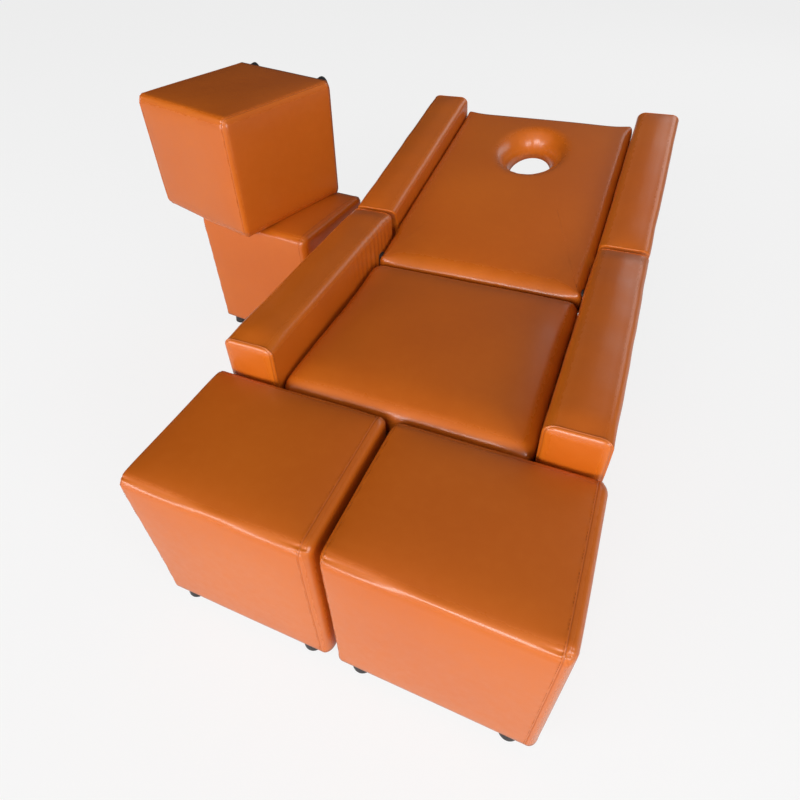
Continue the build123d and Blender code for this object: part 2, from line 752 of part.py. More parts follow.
# Screws of the fixed plates and the foot bracket, and those of the back
with BuildPart() as chair_screws:
    for sign in sides.values():
        seat = side(sign * fixed_face).origin
        headed(Plane(seat, x_dir=(0, 1, 0), z_dir=(-sign, 0, 0)),
               [(y, -sign * z) for y, z in plate_screws], screw_radius, screw_head_radius,
               screw_head_height, plate_thickness)
    headed(flat(rail_top + bracket_base), foot_screws, screw_radius, screw_head_radius,
           screw_head_height, bracket_base + screw_length)
keep(chair_screws, "chair_screws")

with BuildPart() as back_plate_screws:
    for sign in sides.values():
        seat = back_side(sign * (moving_face - screw_head_height)).origin
        headed(Plane(seat, x_dir=back_along, z_dir=(sign, 0, 0)),
               [(s, sign * t) for s, t in back_screws], screw_radius, screw_head_radius,
               screw_head_height, plate_thickness - screw_head_height + screw_length)
    headed(back_under(frame_floor - bracket_base), top_screws, screw_radius, screw_head_radius,
           screw_head_height, bracket_base + screw_length)
keep(back_plate_screws, "back_screws")


def stool(name, base):
    """A cube stool on a base plane: cover, foam, plywood box, base board and four glides."""
    spread_x = stool_width / 2 - stool_foot_side_inset
    spread_y = stool_depth / 2 - stool_foot_inset
    corners = [(i * spread_x, j * spread_y) for i in (-1, 1) for j in (-1, 1)]
    inner_x = stool_width - 2 * stool_side_pad
    inner_y = stool_depth - 2 * stool_side_pad
    foam_floor = stool_height - stool_top_pad - stool_foam
    with BuildPart() as cover:
        with BuildSketch(base.offset(foot_height)):
            Rectangle(stool_width, stool_depth)
        extrude(amount=stool_body)
        rows = cover.edges().group_by(Axis(base.origin, base.z_dir))
        fillet(rows[1] + rows[2], stool_edge_radius)
        with BuildSketch(base.offset(foot_height)):
            Rectangle(inner_x, inner_y)
        extrude(amount=stool_body - stool_top_pad, mode=Mode.SUBTRACT)
    keep(cover, f"{name}_cover")
    with BuildPart() as foam:
        with BuildSketch(base.offset(foam_floor)):
            Rectangle(inner_x, inner_y)
        extrude(amount=stool_foam)
    keep(foam, f"{name}_foam")
    box_floor = foot_height + board
    with BuildPart() as box:
        with BuildSketch(base.offset(box_floor)):
            Rectangle(inner_x, inner_y)
        extrude(amount=foam_floor - box_floor)
        with BuildSketch(base.offset(box_floor)):
            Rectangle(inner_x - 2 * board, inner_y - 2 * board)
        extrude(amount=foam_floor - box_floor - board, mode=Mode.SUBTRACT)
    keep(box, f"{name}_box")
    with BuildPart() as base_board:
        with BuildSketch(base.offset(foot_height)):
            Rectangle(inner_x, inner_y)
            with Locations(*corners):
                Circle(stem_radius + stem_gap, mode=Mode.SUBTRACT)
        extrude(amount=board)
    keep(base_board, f"{name}_base_board")
    keep(feet(base, corners), f"{name}_feet")


ottoman_y = -stool_gap - stool_depth / 2
stool("left_ottoman", Plane(origin=(chair_x + left_ottoman_x, chair_y + ottoman_y, 0)))
stool("right_ottoman", Plane(origin=(chair_x + right_ottoman_x, chair_y + ottoman_y, 0)))
turn = radians(lower_stool_turn)
stool("lower_stool", Plane(origin=(chair_x + lower_stool_x, chair_y + lower_stool_y, 0),
                           x_dir=(cos(turn), sin(turn), 0), z_dir=(0, 0, 1)))
turn = radians(upper_stool_turn)
body_middle = foot_height + stool_body / 2
stool("upper_stool", Plane(origin=(chair_x + upper_stool_x - body_middle * sin(turn),
                                   chair_y + upper_stool_y + body_middle * cos(turn),
                                   stool_height + stacking_gap + stool_depth / 2),
                           x_dir=(cos(turn), sin(turn), 0), z_dir=(sin(turn), -cos(turn), 0)))
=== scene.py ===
import json
from math import cos, pi, radians, sin

import bpy
import numpy as np
from mathutils import Matrix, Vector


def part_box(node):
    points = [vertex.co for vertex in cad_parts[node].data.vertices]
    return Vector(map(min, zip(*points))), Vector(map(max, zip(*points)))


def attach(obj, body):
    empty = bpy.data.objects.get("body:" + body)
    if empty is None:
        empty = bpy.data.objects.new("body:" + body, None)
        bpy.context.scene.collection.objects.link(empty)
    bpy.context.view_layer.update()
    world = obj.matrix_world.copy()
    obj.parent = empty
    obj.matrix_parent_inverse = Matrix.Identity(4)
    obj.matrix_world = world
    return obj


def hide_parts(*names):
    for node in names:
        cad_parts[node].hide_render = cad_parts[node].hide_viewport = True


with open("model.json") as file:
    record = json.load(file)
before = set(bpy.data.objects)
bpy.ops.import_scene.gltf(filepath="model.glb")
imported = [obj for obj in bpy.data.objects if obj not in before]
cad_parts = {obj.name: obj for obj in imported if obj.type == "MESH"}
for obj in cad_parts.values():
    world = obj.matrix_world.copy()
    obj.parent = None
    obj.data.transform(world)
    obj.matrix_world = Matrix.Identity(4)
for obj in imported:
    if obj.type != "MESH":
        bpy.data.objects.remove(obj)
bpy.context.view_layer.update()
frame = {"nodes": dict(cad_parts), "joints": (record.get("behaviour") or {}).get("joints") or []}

scene = bpy.context.scene

# The camera looks down from over the leg rests at the foot end, a little from the right. Its
# place and lens were solved from the corners of the straight-edged boxes in the photograph.
camera_spot = (0.67206, -1.30854, 1.30091)
camera_side, camera_height, camera_roll = radians(26.786), radians(43.012), radians(-3.67)
photo_width, focal_length, centre_x, centre_y = 800, 566.53, 370.37, 385.01
sensor_width = 36.0


def place_object(name, data, axes, spot):
    """A camera or lamp object with the given axes and place."""
    made = bpy.data.objects.new(name, data)
    rows = [[*row, at] for row, at in zip(np.column_stack(axes), spot)]
    made.matrix_world = Matrix(rows + [[0, 0, 0, 1]])
    scene.collection.objects.link(made)
    return made


looking_back = np.array([sin(camera_side) * cos(camera_height), -cos(camera_side) * cos(camera_height),
                         sin(camera_height)])
level = np.array([cos(camera_side), sin(camera_side), 0.0])
upward = np.cross(looking_back, level)
across = cos(camera_roll) * level + sin(camera_roll) * upward
upright = -sin(camera_roll) * level + cos(camera_roll) * upward
lens = bpy.data.cameras.new("camera")
lens.sensor_width = sensor_width
lens.lens = sensor_width * focal_length / photo_width
lens.shift_x = (photo_width / 2 - centre_x) / photo_width
lens.shift_y = (centre_y - photo_width / 2) / photo_width
scene.camera = place_object("camera", lens, [across, upright, looking_back], camera_spot)

# A pale studio: large soft lights in front and at both front corners, which light the
# upright faces most, a weak one at the head end, a sky that is brightest in front and
# dimmest at the left, and a white floor that keeps the shadow.
def soft_light(name, spot, aim, width, height, power):
    """An area light at a spot, turned to face an aim."""
    lamp = bpy.data.lights.new(name, "AREA")
    lamp.shape = "RECTANGLE"
    lamp.size, lamp.size_y, lamp.energy = width, height, power
    toward = np.array(spot, float) - np.array(aim, float)
    toward /= np.linalg.norm(toward)
    sideways = np.cross([0, 0, 1], toward)
    sideways /= np.linalg.norm(sideways)
    place_object(name, lamp, [sideways, np.cross(toward, sideways), toward], spot)


def outlet(value):
    """A socket as it is, or the first output in use of a node."""
    if isinstance(value, bpy.types.NodeSocket):
        return value
    return next(socket for socket in value.outputs if socket.enabled)


def add_node(tree, kind, values=None, **settings):
    """Add a shader node; values go to its inputs, as a link when they are nodes or sockets."""
    node = tree.nodes.new("ShaderNode" + kind)
    for key, value in settings.items():
        setattr(node, key, value)
    for key, value in (values or {}).items():
        if isinstance(value, (bpy.types.Node, bpy.types.NodeSocket)):
            tree.links.new(outlet(value), node.inputs[key])
        else:
            node.inputs[key].default_value = value
    return node


def mapped(tree, value, low, high, to_low, to_high, **settings):
    """A value's range from low to high, mapped to another one and held within it."""
    limits = {"From Min": low, "From Max": high, "To Min": to_low, "To Max": to_high}
    return add_node(tree, "MapRange", {"Value": value, **limits}, **settings)


def maths(tree, operation, *values, **settings):
    """A sum or other operation on values."""
    return add_node(tree, "Math", dict(enumerate(values)), operation=operation, **settings)


def mixed(tree, share, first, second):
    """A colour between two others."""
    return add_node(tree, "Mix", {"Factor": share, "A": first, "B": second}, data_type="RGBA")


def seen_directly(tree):
    """One for what the camera sees itself or through glass, and the kinds of ray."""
    rays = add_node(tree, "LightPath").outputs
    return maths(tree, "MAXIMUM", rays["Is Camera Ray"], rays["Is Transmission Ray"]), rays


soft_light("front_light", (0.3, -9.0, 4.0), (0.1, 0.0, 0.3), 5.0, 2.6, 475)
soft_light("left_light", (-3.6, -5.0, 2.1), (-0.1, 0.0, 0.4), 4.0, 1.4, 138)
soft_light("right_light", (4.0, -2.4, 1.9), (0.2, 0.0, 0.4), 2.4, 1.6, 74)
soft_light("head_light", (2.4, 4.2, 2.6), (0.2, 0.3, 0.4), 3.0, 1.6, 22)
scene.view_settings.view_transform = "Standard"
white = (1.0, 1.0, 1.0, 1.0)
sky = bpy.data.worlds.new("sky")
sky.use_nodes = True
scene.world = sky
sky_tree = sky.node_tree
sky_way = add_node(sky_tree, "SeparateXYZ", {0: add_node(sky_tree, "TexCoord").outputs["Generated"]}).outputs
side_glow = mapped(sky_tree, sky_way["X"], -0.6, 0.05, 0.015, 0.15)
front_glow = mapped(sky_tree, sky_way["Y"], 0.05, -0.75, 0.0, 0.50)
seen, _ = seen_directly(sky_tree)
sky_tone = mixed(sky_tree, seen, maths(sky_tree, "ADD", side_glow, front_glow), white)
sky_tree.links.new(outlet(sky_tone), sky_tree.nodes["Background"].inputs["Color"])

floor_half, floor_lit_share, floor_mirrored_share = 12, 0.80, 0.20
floor_mesh = bpy.data.meshes.new("floor")
floor_corners = [(x * floor_half, y * floor_half, 0) for x, y in ((-1, -1), (1, -1), (1, 1), (-1, 1))]
floor_mesh.from_pydata(floor_corners, [], [(0, 1, 2, 3)])
floor = bpy.data.objects.new("floor", floor_mesh)
scene.collection.objects.link(floor)
pale = bpy.data.materials.new("pale_floor")
pale.use_nodes = True
pale_tree = pale.node_tree
matt = pale_tree.nodes["Principled BSDF"]
for key, value in (("Base Color", (0.75, 0.75, 0.75, 1)), ("Roughness", 0.9), ("Specular IOR Level", 0.0)):
    matt.inputs[key].default_value = value
direct, rays = seen_directly(pale_tree)
dimmed = maths(pale_tree, "MULTIPLY", rays["Is Glossy Ray"], floor_mirrored_share)
share = maths(pale_tree, "MULTIPLY", maths(pale_tree, "MAXIMUM", direct, dimmed), floor_lit_share)
glow = add_node(pale_tree, "Emission", {"Color": white})
floor_mix = add_node(pale_tree, "MixShader", {0: share, 1: matt, 2: glow})
pale_tree.links.new(outlet(floor_mix), pale_tree.nodes["Material Output"].inputs["Surface"])
floor_mesh.materials.append(pale)

# Leather: smooth tan hide with a fine grain. It is stretched over foam, shines a little
# where it is drawn tight over an edge and is dark in the folds of its seams. The same dark
# colour is painted shade on the wall of the back pad's face hole.
hide_tan = (0.530, 0.106, 0.0018, 1)
hide_light = (0.630, 0.150, 0.005, 1)
# Dark hide colour for the seams, also used as painted shade on the face hole's wall.
hide_seam_and_shade = (0.160, 0.022, 0.002, 1)


def new_group(name, **inputs):
    """A node group that gives colour, roughness and height, with the outputs of its input
    node and the places on the object."""
    tree = bpy.data.node_groups.new(name, "ShaderNodeTree")
    for label, value in inputs.items():
        kind = "Float" if isinstance(value, float) else "Color" if len(value) == 4 else "Vector"
        tree.interface.new_socket(label, in_out="INPUT", socket_type="NodeSocket" + kind).default_value = value
    for label, kind in (("Color", "Color"), ("Roughness", "Float"), ("Height", "Float")):
        tree.interface.new_socket(label, in_out="OUTPUT", socket_type="NodeSocket" + kind)
    return tree, tree.nodes.new("NodeGroupInput").outputs, add_node(tree, "TexCoord").outputs["Object"]


def finish_group(tree, *results):
    """Wire a group's colour, roughness and height to its outputs."""
    out = tree.nodes.new("NodeGroupOutput")
    for label, value in zip(("Color", "Roughness", "Height"), results):
        tree.links.new(outlet(value), out.inputs[label])
    return tree


def noise(tree, place, scale, detail, **more):
    """A noise texture."""
    return add_node(tree, "TexNoise", {"Vector": place, "Scale": scale, "Detail": detail, **more})


def hide_group():
    """Leather: cloudy colour, pale on worn edges and dark in seams, with painted shade on the face hole's wall,
    and grain and creases.
    """
    tree, given, place = new_group("hide", Color=hide_tan, Light=hide_light, Deep=hide_seam_and_shade, Grain=620.0)
    clouds = noise(tree, place, 3.1, 3.0)
    mottle = noise(tree, place, 46.0, 4.0, Roughness=0.6)
    cells = add_node(tree, "TexVoronoi", {"Vector": place, "Scale": given["Grain"]}, feature="SMOOTH_F1")
    pores = noise(tree, place, 1500.0, 2.0)
    creases = noise(tree, place, 95.0, 3.0, Distortion=1.4)
    seam = add_node(tree, "Attribute", attribute_name="seam").outputs["Fac"]
    worn = add_node(tree, "Attribute", attribute_name="worn").outputs["Fac"]
    cloudy = mapped(tree, clouds, 0.35, 0.68, 0.0, 0.30)
    spotted = mapped(tree, mottle, 0.45, 0.75, 0.0, 0.14)
    rubbed = maths(tree, "MULTIPLY", worn, 0.45)
    lighter = maths(tree, "ADD", maths(tree, "ADD", cloudy, spotted), rubbed, use_clamp=True)
    # Darkens the seams, and paints shade over the face hole's wall, which is marked as a seam.
    seam_dark_and_hole_shade = mapped(tree, seam, 0.0003, 0.0016, 0.25, 0.0, interpolation_type="SMOOTHSTEP")
    shade = mixed(tree, seam_dark_and_hole_shade, mixed(tree, lighter, given["Color"], given["Light"]), given["Deep"])
    gloss = maths(tree, "SUBTRACT", mapped(tree, mottle, 0.3, 0.7, 0.28, 0.38), rubbed)
    gloss = maths(tree, "MULTIPLY_ADD", seam_dark_and_hole_shade, 1.2, gloss)
    gloss = add_node(tree, "Clamp", {"Value": gloss, "Min": 0.25, "Max": 0.6})
    grain = maths(tree, "MULTIPLY", cells, 0.55)
    fine = maths(tree, "MULTIPLY_ADD", pores, 0.25, grain)
    fold = maths(tree, "MULTIPLY", creases, worn)
    return finish_group(tree, shade, gloss, maths(tree, "MULTIPLY_ADD", fold, 1.6, fine))


def grouped_material(name, group, values, bump=0.0, distance=0.0002, **shader):
    """A material whose colour, roughness and bump come from a node group."""
    made = bpy.data.materials.new(name)
    made.use_nodes = True
    tree = made.node_tree
    body = tree.nodes["Principled BSDF"]
    part = add_node(tree, "Group", node_tree=group)
    for key, value in values.items():
        part.inputs[key].default_value = value
    tree.links.new(part.outputs["Color"], body.inputs["Base Color"])
    tree.links.new(part.outputs["Roughness"], body.inputs["Roughness"])
    relief = add_node(tree, "Bump", {"Height": part.outputs["Height"], "Strength": bump, "Distance": distance})
    tree.links.new(outlet(relief), body.inputs["Normal"])
    for key, value in shader.items():
        body.inputs[key.replace("_", " ")].default_value = value
    return made


leather = grouped_material("tan_leather", hide_group(), {}, bump=0.35, distance=0.0003,
                           Specular_IOR_Level=0.50, Coat_Weight=0.38, Coat_Roughness=0.62)

# Stools, four alike: a plywood box with foam on top, in a leather cover. One band of hide
# runs up the front, over the top and down the back. Of the seams of its two side panels one
# lies in the flat inside its edge and the other on the bend, each beside a row of stitches.
stool_low, stool_high = np.array([-0.218, -0.180, 0.030]), np.array([0.218, 0.180, 0.445])
stool_edge, stool_wall = np.array([0.018, 0.026, 0.022]), 0.0095
left_inset, right_inset = -0.010, 0.004
stitch_length, stitch_pitch, stitch_radius, stitch_offset = 0.0050, 0.0074, 0.0004, 0.0030
edge_angles = np.array([0, 9, 18, 27, 34, 39, 42, 45])
seam_angles = np.array([0, 9, 16, 20, 23, 25.5, 27.5, 29, 30.2, 31.2, 32.2, 33.2, 34.4, 36, 38.5, 41.5, 45])
seam_near = np.array([0.0007, 0.0014, 0.0021, 0.0027, 0.0032, 0.0036, 0.0040, 0.0044, 0.0048, 0.0053, 0.0059,
                      0.0066, 0.0074, 0.0084, 0.010, 0.012, 0.015])
no_seam = 0.02
flat_panel = radians(89.9)
below_rim = np.array([0, 0, 0.2])


def box_net(xs, ys, zs, open_below=False):
    """Grid lines on the six sides of a box, welded along its edges, with faces outward."""
    lines = [np.asarray(xs), np.asarray(ys), np.asarray(zs)]
    counts = [len(line) for line in lines]
    quads = []
    for axis in range(3):
        b, c = (axis + 1) % 3, (axis + 2) % 3
        first, second = np.meshgrid(np.arange(counts[b] - 1), np.arange(counts[c] - 1), indexing="ij")
        for end in (0, counts[axis] - 1):
            if open_below and axis == 2 and end == 0:
                continue
            corners = []
            for db, dc in ((0, 0), (1, 0), (1, 1), (0, 1)):
                index = [None, None, None]
                index[axis] = np.full(first.shape, end)
                index[b], index[c] = first + db, second + dc
                corners.append((index[0] * counts[1] + index[1]) * counts[2] + index[2])
            quad = np.stack(corners, -1).reshape(-1, 4)
            quads.append(quad if end else quad[:, ::-1])
    keys, quads = np.unique(np.concatenate(quads), return_inverse=True)
    i, rest = np.divmod(keys, counts[1] * counts[2])
    j, k = np.divmod(rest, counts[2])
    return np.column_stack([lines[0][i], lines[1][j], lines[2][k]]), quads.reshape(-1, 4)


def end_lines(low, high, edge, spacing, low_angles, high_angles, near=()):
    """Grid lines of one direction: even in the middle, set by angles round each edge, and
    near the rounding at given distances inside it."""
    middle = np.linspace(low + edge, high - edge, max(2, int(round((high - low - 2 * edge) / spacing)) + 1))
    near = np.asarray(near)
    if len(near):
        clear = near[-1] * 1.3
        middle = middle[(np.abs(middle - low - edge) > clear) & (np.abs(middle - high + edge) > clear)]
    start = low + edge - edge * np.tan(np.radians(low_angles[::-1]))
    stop = high - edge + edge * np.tan(np.radians(high_angles))
    return np.unique(np.round(np.concatenate([start, low + edge + near, middle, high - edge - near, stop]), 7))


def rounded(points, low, high, edge):
    """Pull a box's edges and corners to a radius, which may differ along the three axes: the
    middle of the rounding, the way out from it and the surface's normals."""
    core = np.clip(points, low + edge, high - edge)
    out = (points - core) / edge
    out /= np.linalg.norm(out, axis=1)[:, None]
    normals = out / edge
    return core, out, normals / np.linalg.norm(normals, axis=1)[:, None]


def open_box(low, high, edge, spacing, across, along):
    """The net of a cover that is open below, whose rim isn't rounded: its sharp corners and
    faces, and its rounding."""
    xs = end_lines(low[0], high[0], edge[0], spacing[0], *across)
    ys = end_lines(low[1], high[1], edge[1], spacing[1], *along)
    zs = end_lines(low[2] - edge[2], high[2], edge[2], spacing[2], np.array([0]), edge_angles)
    sharp, faces = box_net(xs, ys, zs, open_below=True)
    return sharp, faces, *rounded(sharp, low - below_rim, high, edge)


def plain_box(low, high, edge, spacing, angles=edge_angles):
    """The net of a closed box with all its edges rounded: its faces and its rounding."""
    edges, spacings = np.broadcast_to(edge, 3), np.broadcast_to(spacing, 3)
    lines = [end_lines(*each, angles, angles) for each in zip(low, high, edges, spacings)]
    sharp, faces = box_net(*lines)
    return faces, *rounded(sharp, low, high, edge)


def waves(points, seed, length, count=7):
    """Smooth unevenness from minus one to one: a sum of sines in seeded directions."""
    chance = np.random.default_rng(seed)
    total = np.zeros(len(points))
    for _ in range(count):
        way = chance.normal(size=3)
        way /= np.linalg.norm(way)
        total += np.sin(points @ way * 2 * pi / (length * chance.uniform(0.6, 1.6)) + chance.uniform(0, 2 * pi))
    return total / np.sqrt(count) / 1.4


def hump(distance, width):
    """A smooth bump: one at no distance, and gone within two or three widths."""
    return np.exp(-(distance / width) ** 2)


def inner_share(at, low, high):
    """Along each axis of a box, one at its middle and zero at its ends."""
    return 1 - np.clip((at - (low + high) / 2) / ((high - low) / 2), -1, 1) ** 2


def surface(name, points, faces, **values):
    """A smooth mesh object from point and quad arrays, with point values as attributes."""
    mesh = bpy.data.meshes.new(name)
    mesh.vertices.add(len(points))
    mesh.vertices.foreach_set("co", np.asarray(points, np.float32).ravel())
    mesh.loops.add(faces.size)
    mesh.loops.foreach_set("vertex_index", faces.astype(np.int32).ravel())
    mesh.polygons.add(len(faces))
    mesh.polygons.foreach_set("loop_start", np.arange(0, faces.size, faces.shape[1], dtype=np.int32))
    mesh.update(calc_edges=True)
    mesh.shade_smooth()
    for key, value in values.items():
        mesh.attributes.new(key, "FLOAT", "POINT").data.foreach_set("value", np.asarray(value, np.float32))
    made = bpy.data.objects.new(name, mesh)
    scene.collection.objects.link(made)
    return made


def dress(made, material, body, slot, *nodes, fill=None):
    """Give a mesh its material and body, and hide the CAD nodes that it stands for.
    Its slot and fill are not used."""
    made.data.materials.append(material)
    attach(made, body)
    if nodes:
        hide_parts(*nodes)


def wear(out, strength=3.0):
    """How far the hide is drawn over an edge: zero on flat sides."""
    return np.clip((1 - np.max(np.abs(out), axis=1)) * strength, 0, 1)


def walled(outer, inner, faces, sharp, bottom, seam, out):
    """Close an outer skin with an inner one, joined by a strip round the lower rim: points,
    faces, and the marks of seams and wear."""
    rim = np.flatnonzero(np.abs(sharp[:, 2] - bottom) < 1e-7)
    middle = sharp[rim].mean(0)
    loop = rim[np.argsort(np.arctan2(sharp[rim, 1] - middle[1], sharp[rim, 0] - middle[0]))]
    following = np.roll(loop, -1)
    count = len(outer)
    strip = np.column_stack([loop, loop + count, following + count, following])
    marks = {"seam": np.concatenate([np.abs(seam), np.full(count, no_seam)]),
             "worn": np.concatenate([wear(out), np.zeros(count)])}
    return np.concatenate([outer, inner]), np.concatenate([faces, faces[:, ::-1] + count, strip]), marks


def held_share(above_rim):
    """Share of the swell that is left near the lower rim, where the cover is held."""
    return np.clip(above_rim / 0.03 + 0.15, 0, 1) ** 0.5


def seam_form(distance):
    """Height of the hide beside a stitched seam: a groove between two soft ridges."""
    return -0.0005 * hump(distance, 0.0009) + 0.0004 * hump(np.abs(distance) - 0.0026, 0.0019)


def foam_rise(first, second, reach):
    """Height of foam under hide by its distance inside two edges: steep, then level."""
    return (1 - np.exp(-np.maximum(first, 0) / reach)) * (1 - np.exp(-np.maximum(second, 0) / reach))


def way_over(low, high, edge, axis, count):
    """The way over a cover from rim to rim, in a plane along one axis: where the rounding's
    middle is along the axis and in height, and the two parts of the way out from it."""
    side, bend = 60, 12
    lift = np.linspace(low[2] + 0.004, high[2] - edge[2], side)
    arc = np.linspace(0, pi / 2, bend + 2)[1:-1]
    run = np.linspace(low[axis] + edge[axis], high[axis] - edge[axis], count)
    return (np.concatenate([np.full(side + bend, run[0]), run, np.full(side + bend, run[-1])]),
            np.concatenate([lift, np.full(2 * bend + count, lift[-1]), lift[::-1]]),
            np.concatenate([-np.ones(side), -np.cos(arc), np.zeros(count), np.sin(arc), np.ones(side)]),
            np.concatenate([np.zeros(side), np.sin(arc), np.ones(count), np.cos(arc), np.zeros(side)]))


def stitch_row(hold, outward, edge, rise, rim):
    """A row of thread stitches: small capsules of six rings of six points each, set end to end
    along the cover, out from the rounding's middle by its radius and the swell."""
    path = hold + outward * edge + outward * (rise * held_share(hold[:, 2] - rim))[:, None]
    steps = np.linalg.norm(np.diff(path, axis=0), axis=1)
    along = np.concatenate([[0], np.cumsum(steps)])
    count = int(along[-1] / stitch_pitch)
    middles = (np.arange(count) + 0.5) * along[-1] / count

    def track(values, spots):
        """Values of the path's points, read between them."""
        return np.column_stack([np.interp(spots, along, values[:, k]) for k in range(3)])

    at, up = track(path, middles), track(outward, middles)
    ahead = track(path, middles + 0.001) - track(path, middles - 0.001)
    ahead /= np.linalg.norm(ahead, axis=1)[:, None]
    up -= ahead * np.sum(up * ahead, axis=1)[:, None]
    up /= np.linalg.norm(up, axis=1)[:, None]
    beside = np.cross(ahead, up)
    reach = np.array([-0.5, -0.42, -0.2, 0.2, 0.42, 0.5]) * stitch_length
    girth = np.array([0.25, 0.8, 1.0, 1.0, 0.8, 0.25]) * stitch_radius
    sink = np.array([-0.5, -0.15, 0.0, 0.0, -0.15, -0.5]) * stitch_radius
    turn = np.arange(6) * pi / 3
    ring = (at[:, None, None] + ahead[:, None, None] * reach[None, :, None, None]
            + beside[:, None, None] * (girth[:, None] * np.cos(turn))[None, :, :, None]
            + up[:, None, None] * (girth[:, None] * np.sin(turn) + sink[:, None])[None, :, :, None])
    i, j = np.meshgrid(np.arange(5), np.arange(6), indexing="ij")
    beyond = (j + 1) % 6
    one = np.stack([i * 6 + j, i * 6 + beyond, (i + 1) * 6 + beyond, (i + 1) * 6 + j], -1).reshape(-1, 4)
    one = np.concatenate([one, [[0, 3, 2, 1], [0, 5, 4, 3], [30, 31, 32, 33], [30, 33, 34, 35]]])
    return ring.reshape(-1, 3), (one[None] + np.arange(count)[:, None, None] * 36).reshape(-1, 4)


def joined(parts):
    """Several point and face arrays as one."""
    points, faces, start = [], [], 0
    for some, quads in parts:
        points.append(some)
        faces.append(quads + start)
        start += len(some)
    return np.concatenate(points), np.concatenate(faces)


def thread_material():
    """Waxed sewing thread, a little darker than the hide, with a twisted lay."""
    tree, given, place = new_group("thread", Color=(0.26, 0.050, 0.006, 1))
    lay = noise(tree, place, 1400.0, 2.0)
    tone = mixed(tree, lay, given["Color"], (0.42, 0.100, 0.014, 1))
    finish_group(tree, tone, mapped(tree, lay, 0.0, 1.0, 0.45, 0.65), lay)
    return grouped_material("sewing_thread", tree, {}, bump=0.3, Specular_IOR_Level=0.2)


thread = thread_material()


def stool_skin(core, out, seed):
    """Outward swell of a stool's cover, and each point's distance from its side seam. Faces
    belly out between their edges, the hide ripples along the edges without a seam, and
    small gathers run from the corners where band and side panel meet."""
    at = core + out * stool_edge
    flat = inner_share(at, stool_low, stool_high)
    inside = stool_high - stool_edge - np.abs(core) * [1, 1, 0] - core * [0, 0, 1]
    fullness = flat[:, 2] ** 0.3
    belly = (out[:, 2] ** 2 * (0.0082 * foam_rise(inside[:, 0], inside[:, 1], 0.035) - 0.0032)
             + out[:, 1] ** 2 * (0.0052 * foam_rise(inside[:, 0], inside[:, 2], 0.030) * fullness - 0.0012)
             + out[:, 0] ** 2 * (0.0044 * foam_rise(inside[:, 1], inside[:, 2], 0.030) * fullness - 0.0012))
    side_x, side_y, side_z = np.abs(out).T
    belly -= 0.0042 * side_y * side_z + 0.0026 * side_x * side_z + 0.0024 * side_x * side_y
    lean = np.arctan2(side_x, np.hypot(out[:, 1], out[:, 2]))
    inset = np.where(at[:, 0] < 0, left_inset, right_inset)
    past_panel = np.where(lean > flat_panel, np.maximum(0, np.minimum(inside[:, 1], inside[:, 2])), 0)
    seam = stool_edge[0] * lean - inside[:, 0] + inset + past_panel
    bend = 1 - np.max(np.abs(out), axis=1)
    ripple = waves(at * [1, 2, 2], seed, 0.15) * 0.0014 * np.clip(bend * 5, 0, 1) * (side_x < 0.4)
    ripple += waves(at, seed + 1, 0.30) * 0.0008
    corner = np.abs(at[:, :2]) - (stool_high[:2] - [0.020, 0.006])
    corner[:, 0] -= np.where(at[:, 0] < 0, 0.012, 0)
    below_top = at[:, 2] - stool_high[2]
    spot = np.sqrt(corner[:, 0] ** 2 + corner[:, 1] ** 2 + (below_top + 0.005) ** 2)
    fan = np.arctan2(below_top + 0.03, stool_high[1] - 0.03 - np.abs(at[:, 1]))
    gather = np.sin(fan * 15 + seed) * 0.0007 * hump(spot, 0.024) * np.clip(np.abs(seam) / 0.004, 0, 1)
    pucker = np.sin((at[:, 1] - at[:, 2]) * 2 * pi / stitch_pitch) * 0.00045 * hump(seam + 0.004, 0.004)
    knot = 0.0008 * hump(spot, 0.006) - 0.0010 * hump(spot, 0.030)
    return belly + ripple + gather + pucker + knot + seam_form(seam), seam


def stool_cover(name, turn, spot, seed):
    """Make one stool's cover and the stitching beside its seams."""
    sharp, faces, core, out, normals = open_box(
        stool_low, stool_high, stool_edge, (0.012, 0.009, 0.010),
        (seam_angles, edge_angles, seam_near), (edge_angles, edge_angles))
    swell, seam = stool_skin(core, out, seed)
    swell *= held_share(core[:, 2] - stool_low[2])
    outer = core + out * stool_edge + normals * swell[:, None]
    inner = core + out * (stool_edge - stool_wall)
    points, quads, marks = walled(outer, inner, faces, sharp, stool_low[2], seam, out)
    cover = surface(name + "_cover_hide", points @ turn.T + spot, quads, **marks)
    dress(cover, leather, name, "stool_leather", name + "_cover", fill=0.9)

    hold_y, hold_z, tip_y, tip_z = way_over(stool_low, stool_high, stool_edge, 1, 50)
    rows = []
    for hand, inset in ((-1, left_inset + stitch_offset), (1, right_inset + stitch_offset)):
        tilt = max(0, -inset) / stool_edge[0]
        hold_x = hand * (stool_high[0] - stool_edge[0] - max(0, inset))
        way = np.column_stack([np.full(len(tip_y), hand * sin(tilt)), tip_y * cos(tilt), tip_z * cos(tilt)])
        hold = np.column_stack([np.full(len(tip_y), hold_x), hold_y, hold_z])
        rows.append(stitch_row(hold, way, stool_edge, stool_skin(hold, way, seed)[0], stool_low[2]))
    points, quads = joined(rows)
    dress(surface(name + "_stitching", points @ turn.T + spot, quads), thread, name, "stool_leather")


def box_middle(node):
    """Middle of a CAD node's box."""
    low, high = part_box(node)
    return (np.array(low) + np.array(high)) / 2


def turned(angle):
    """A turn about the upright axis, in degrees."""
    a = radians(angle)
    return np.array([[cos(a), -sin(a), 0], [sin(a), cos(a), 0], [0, 0, 1]])


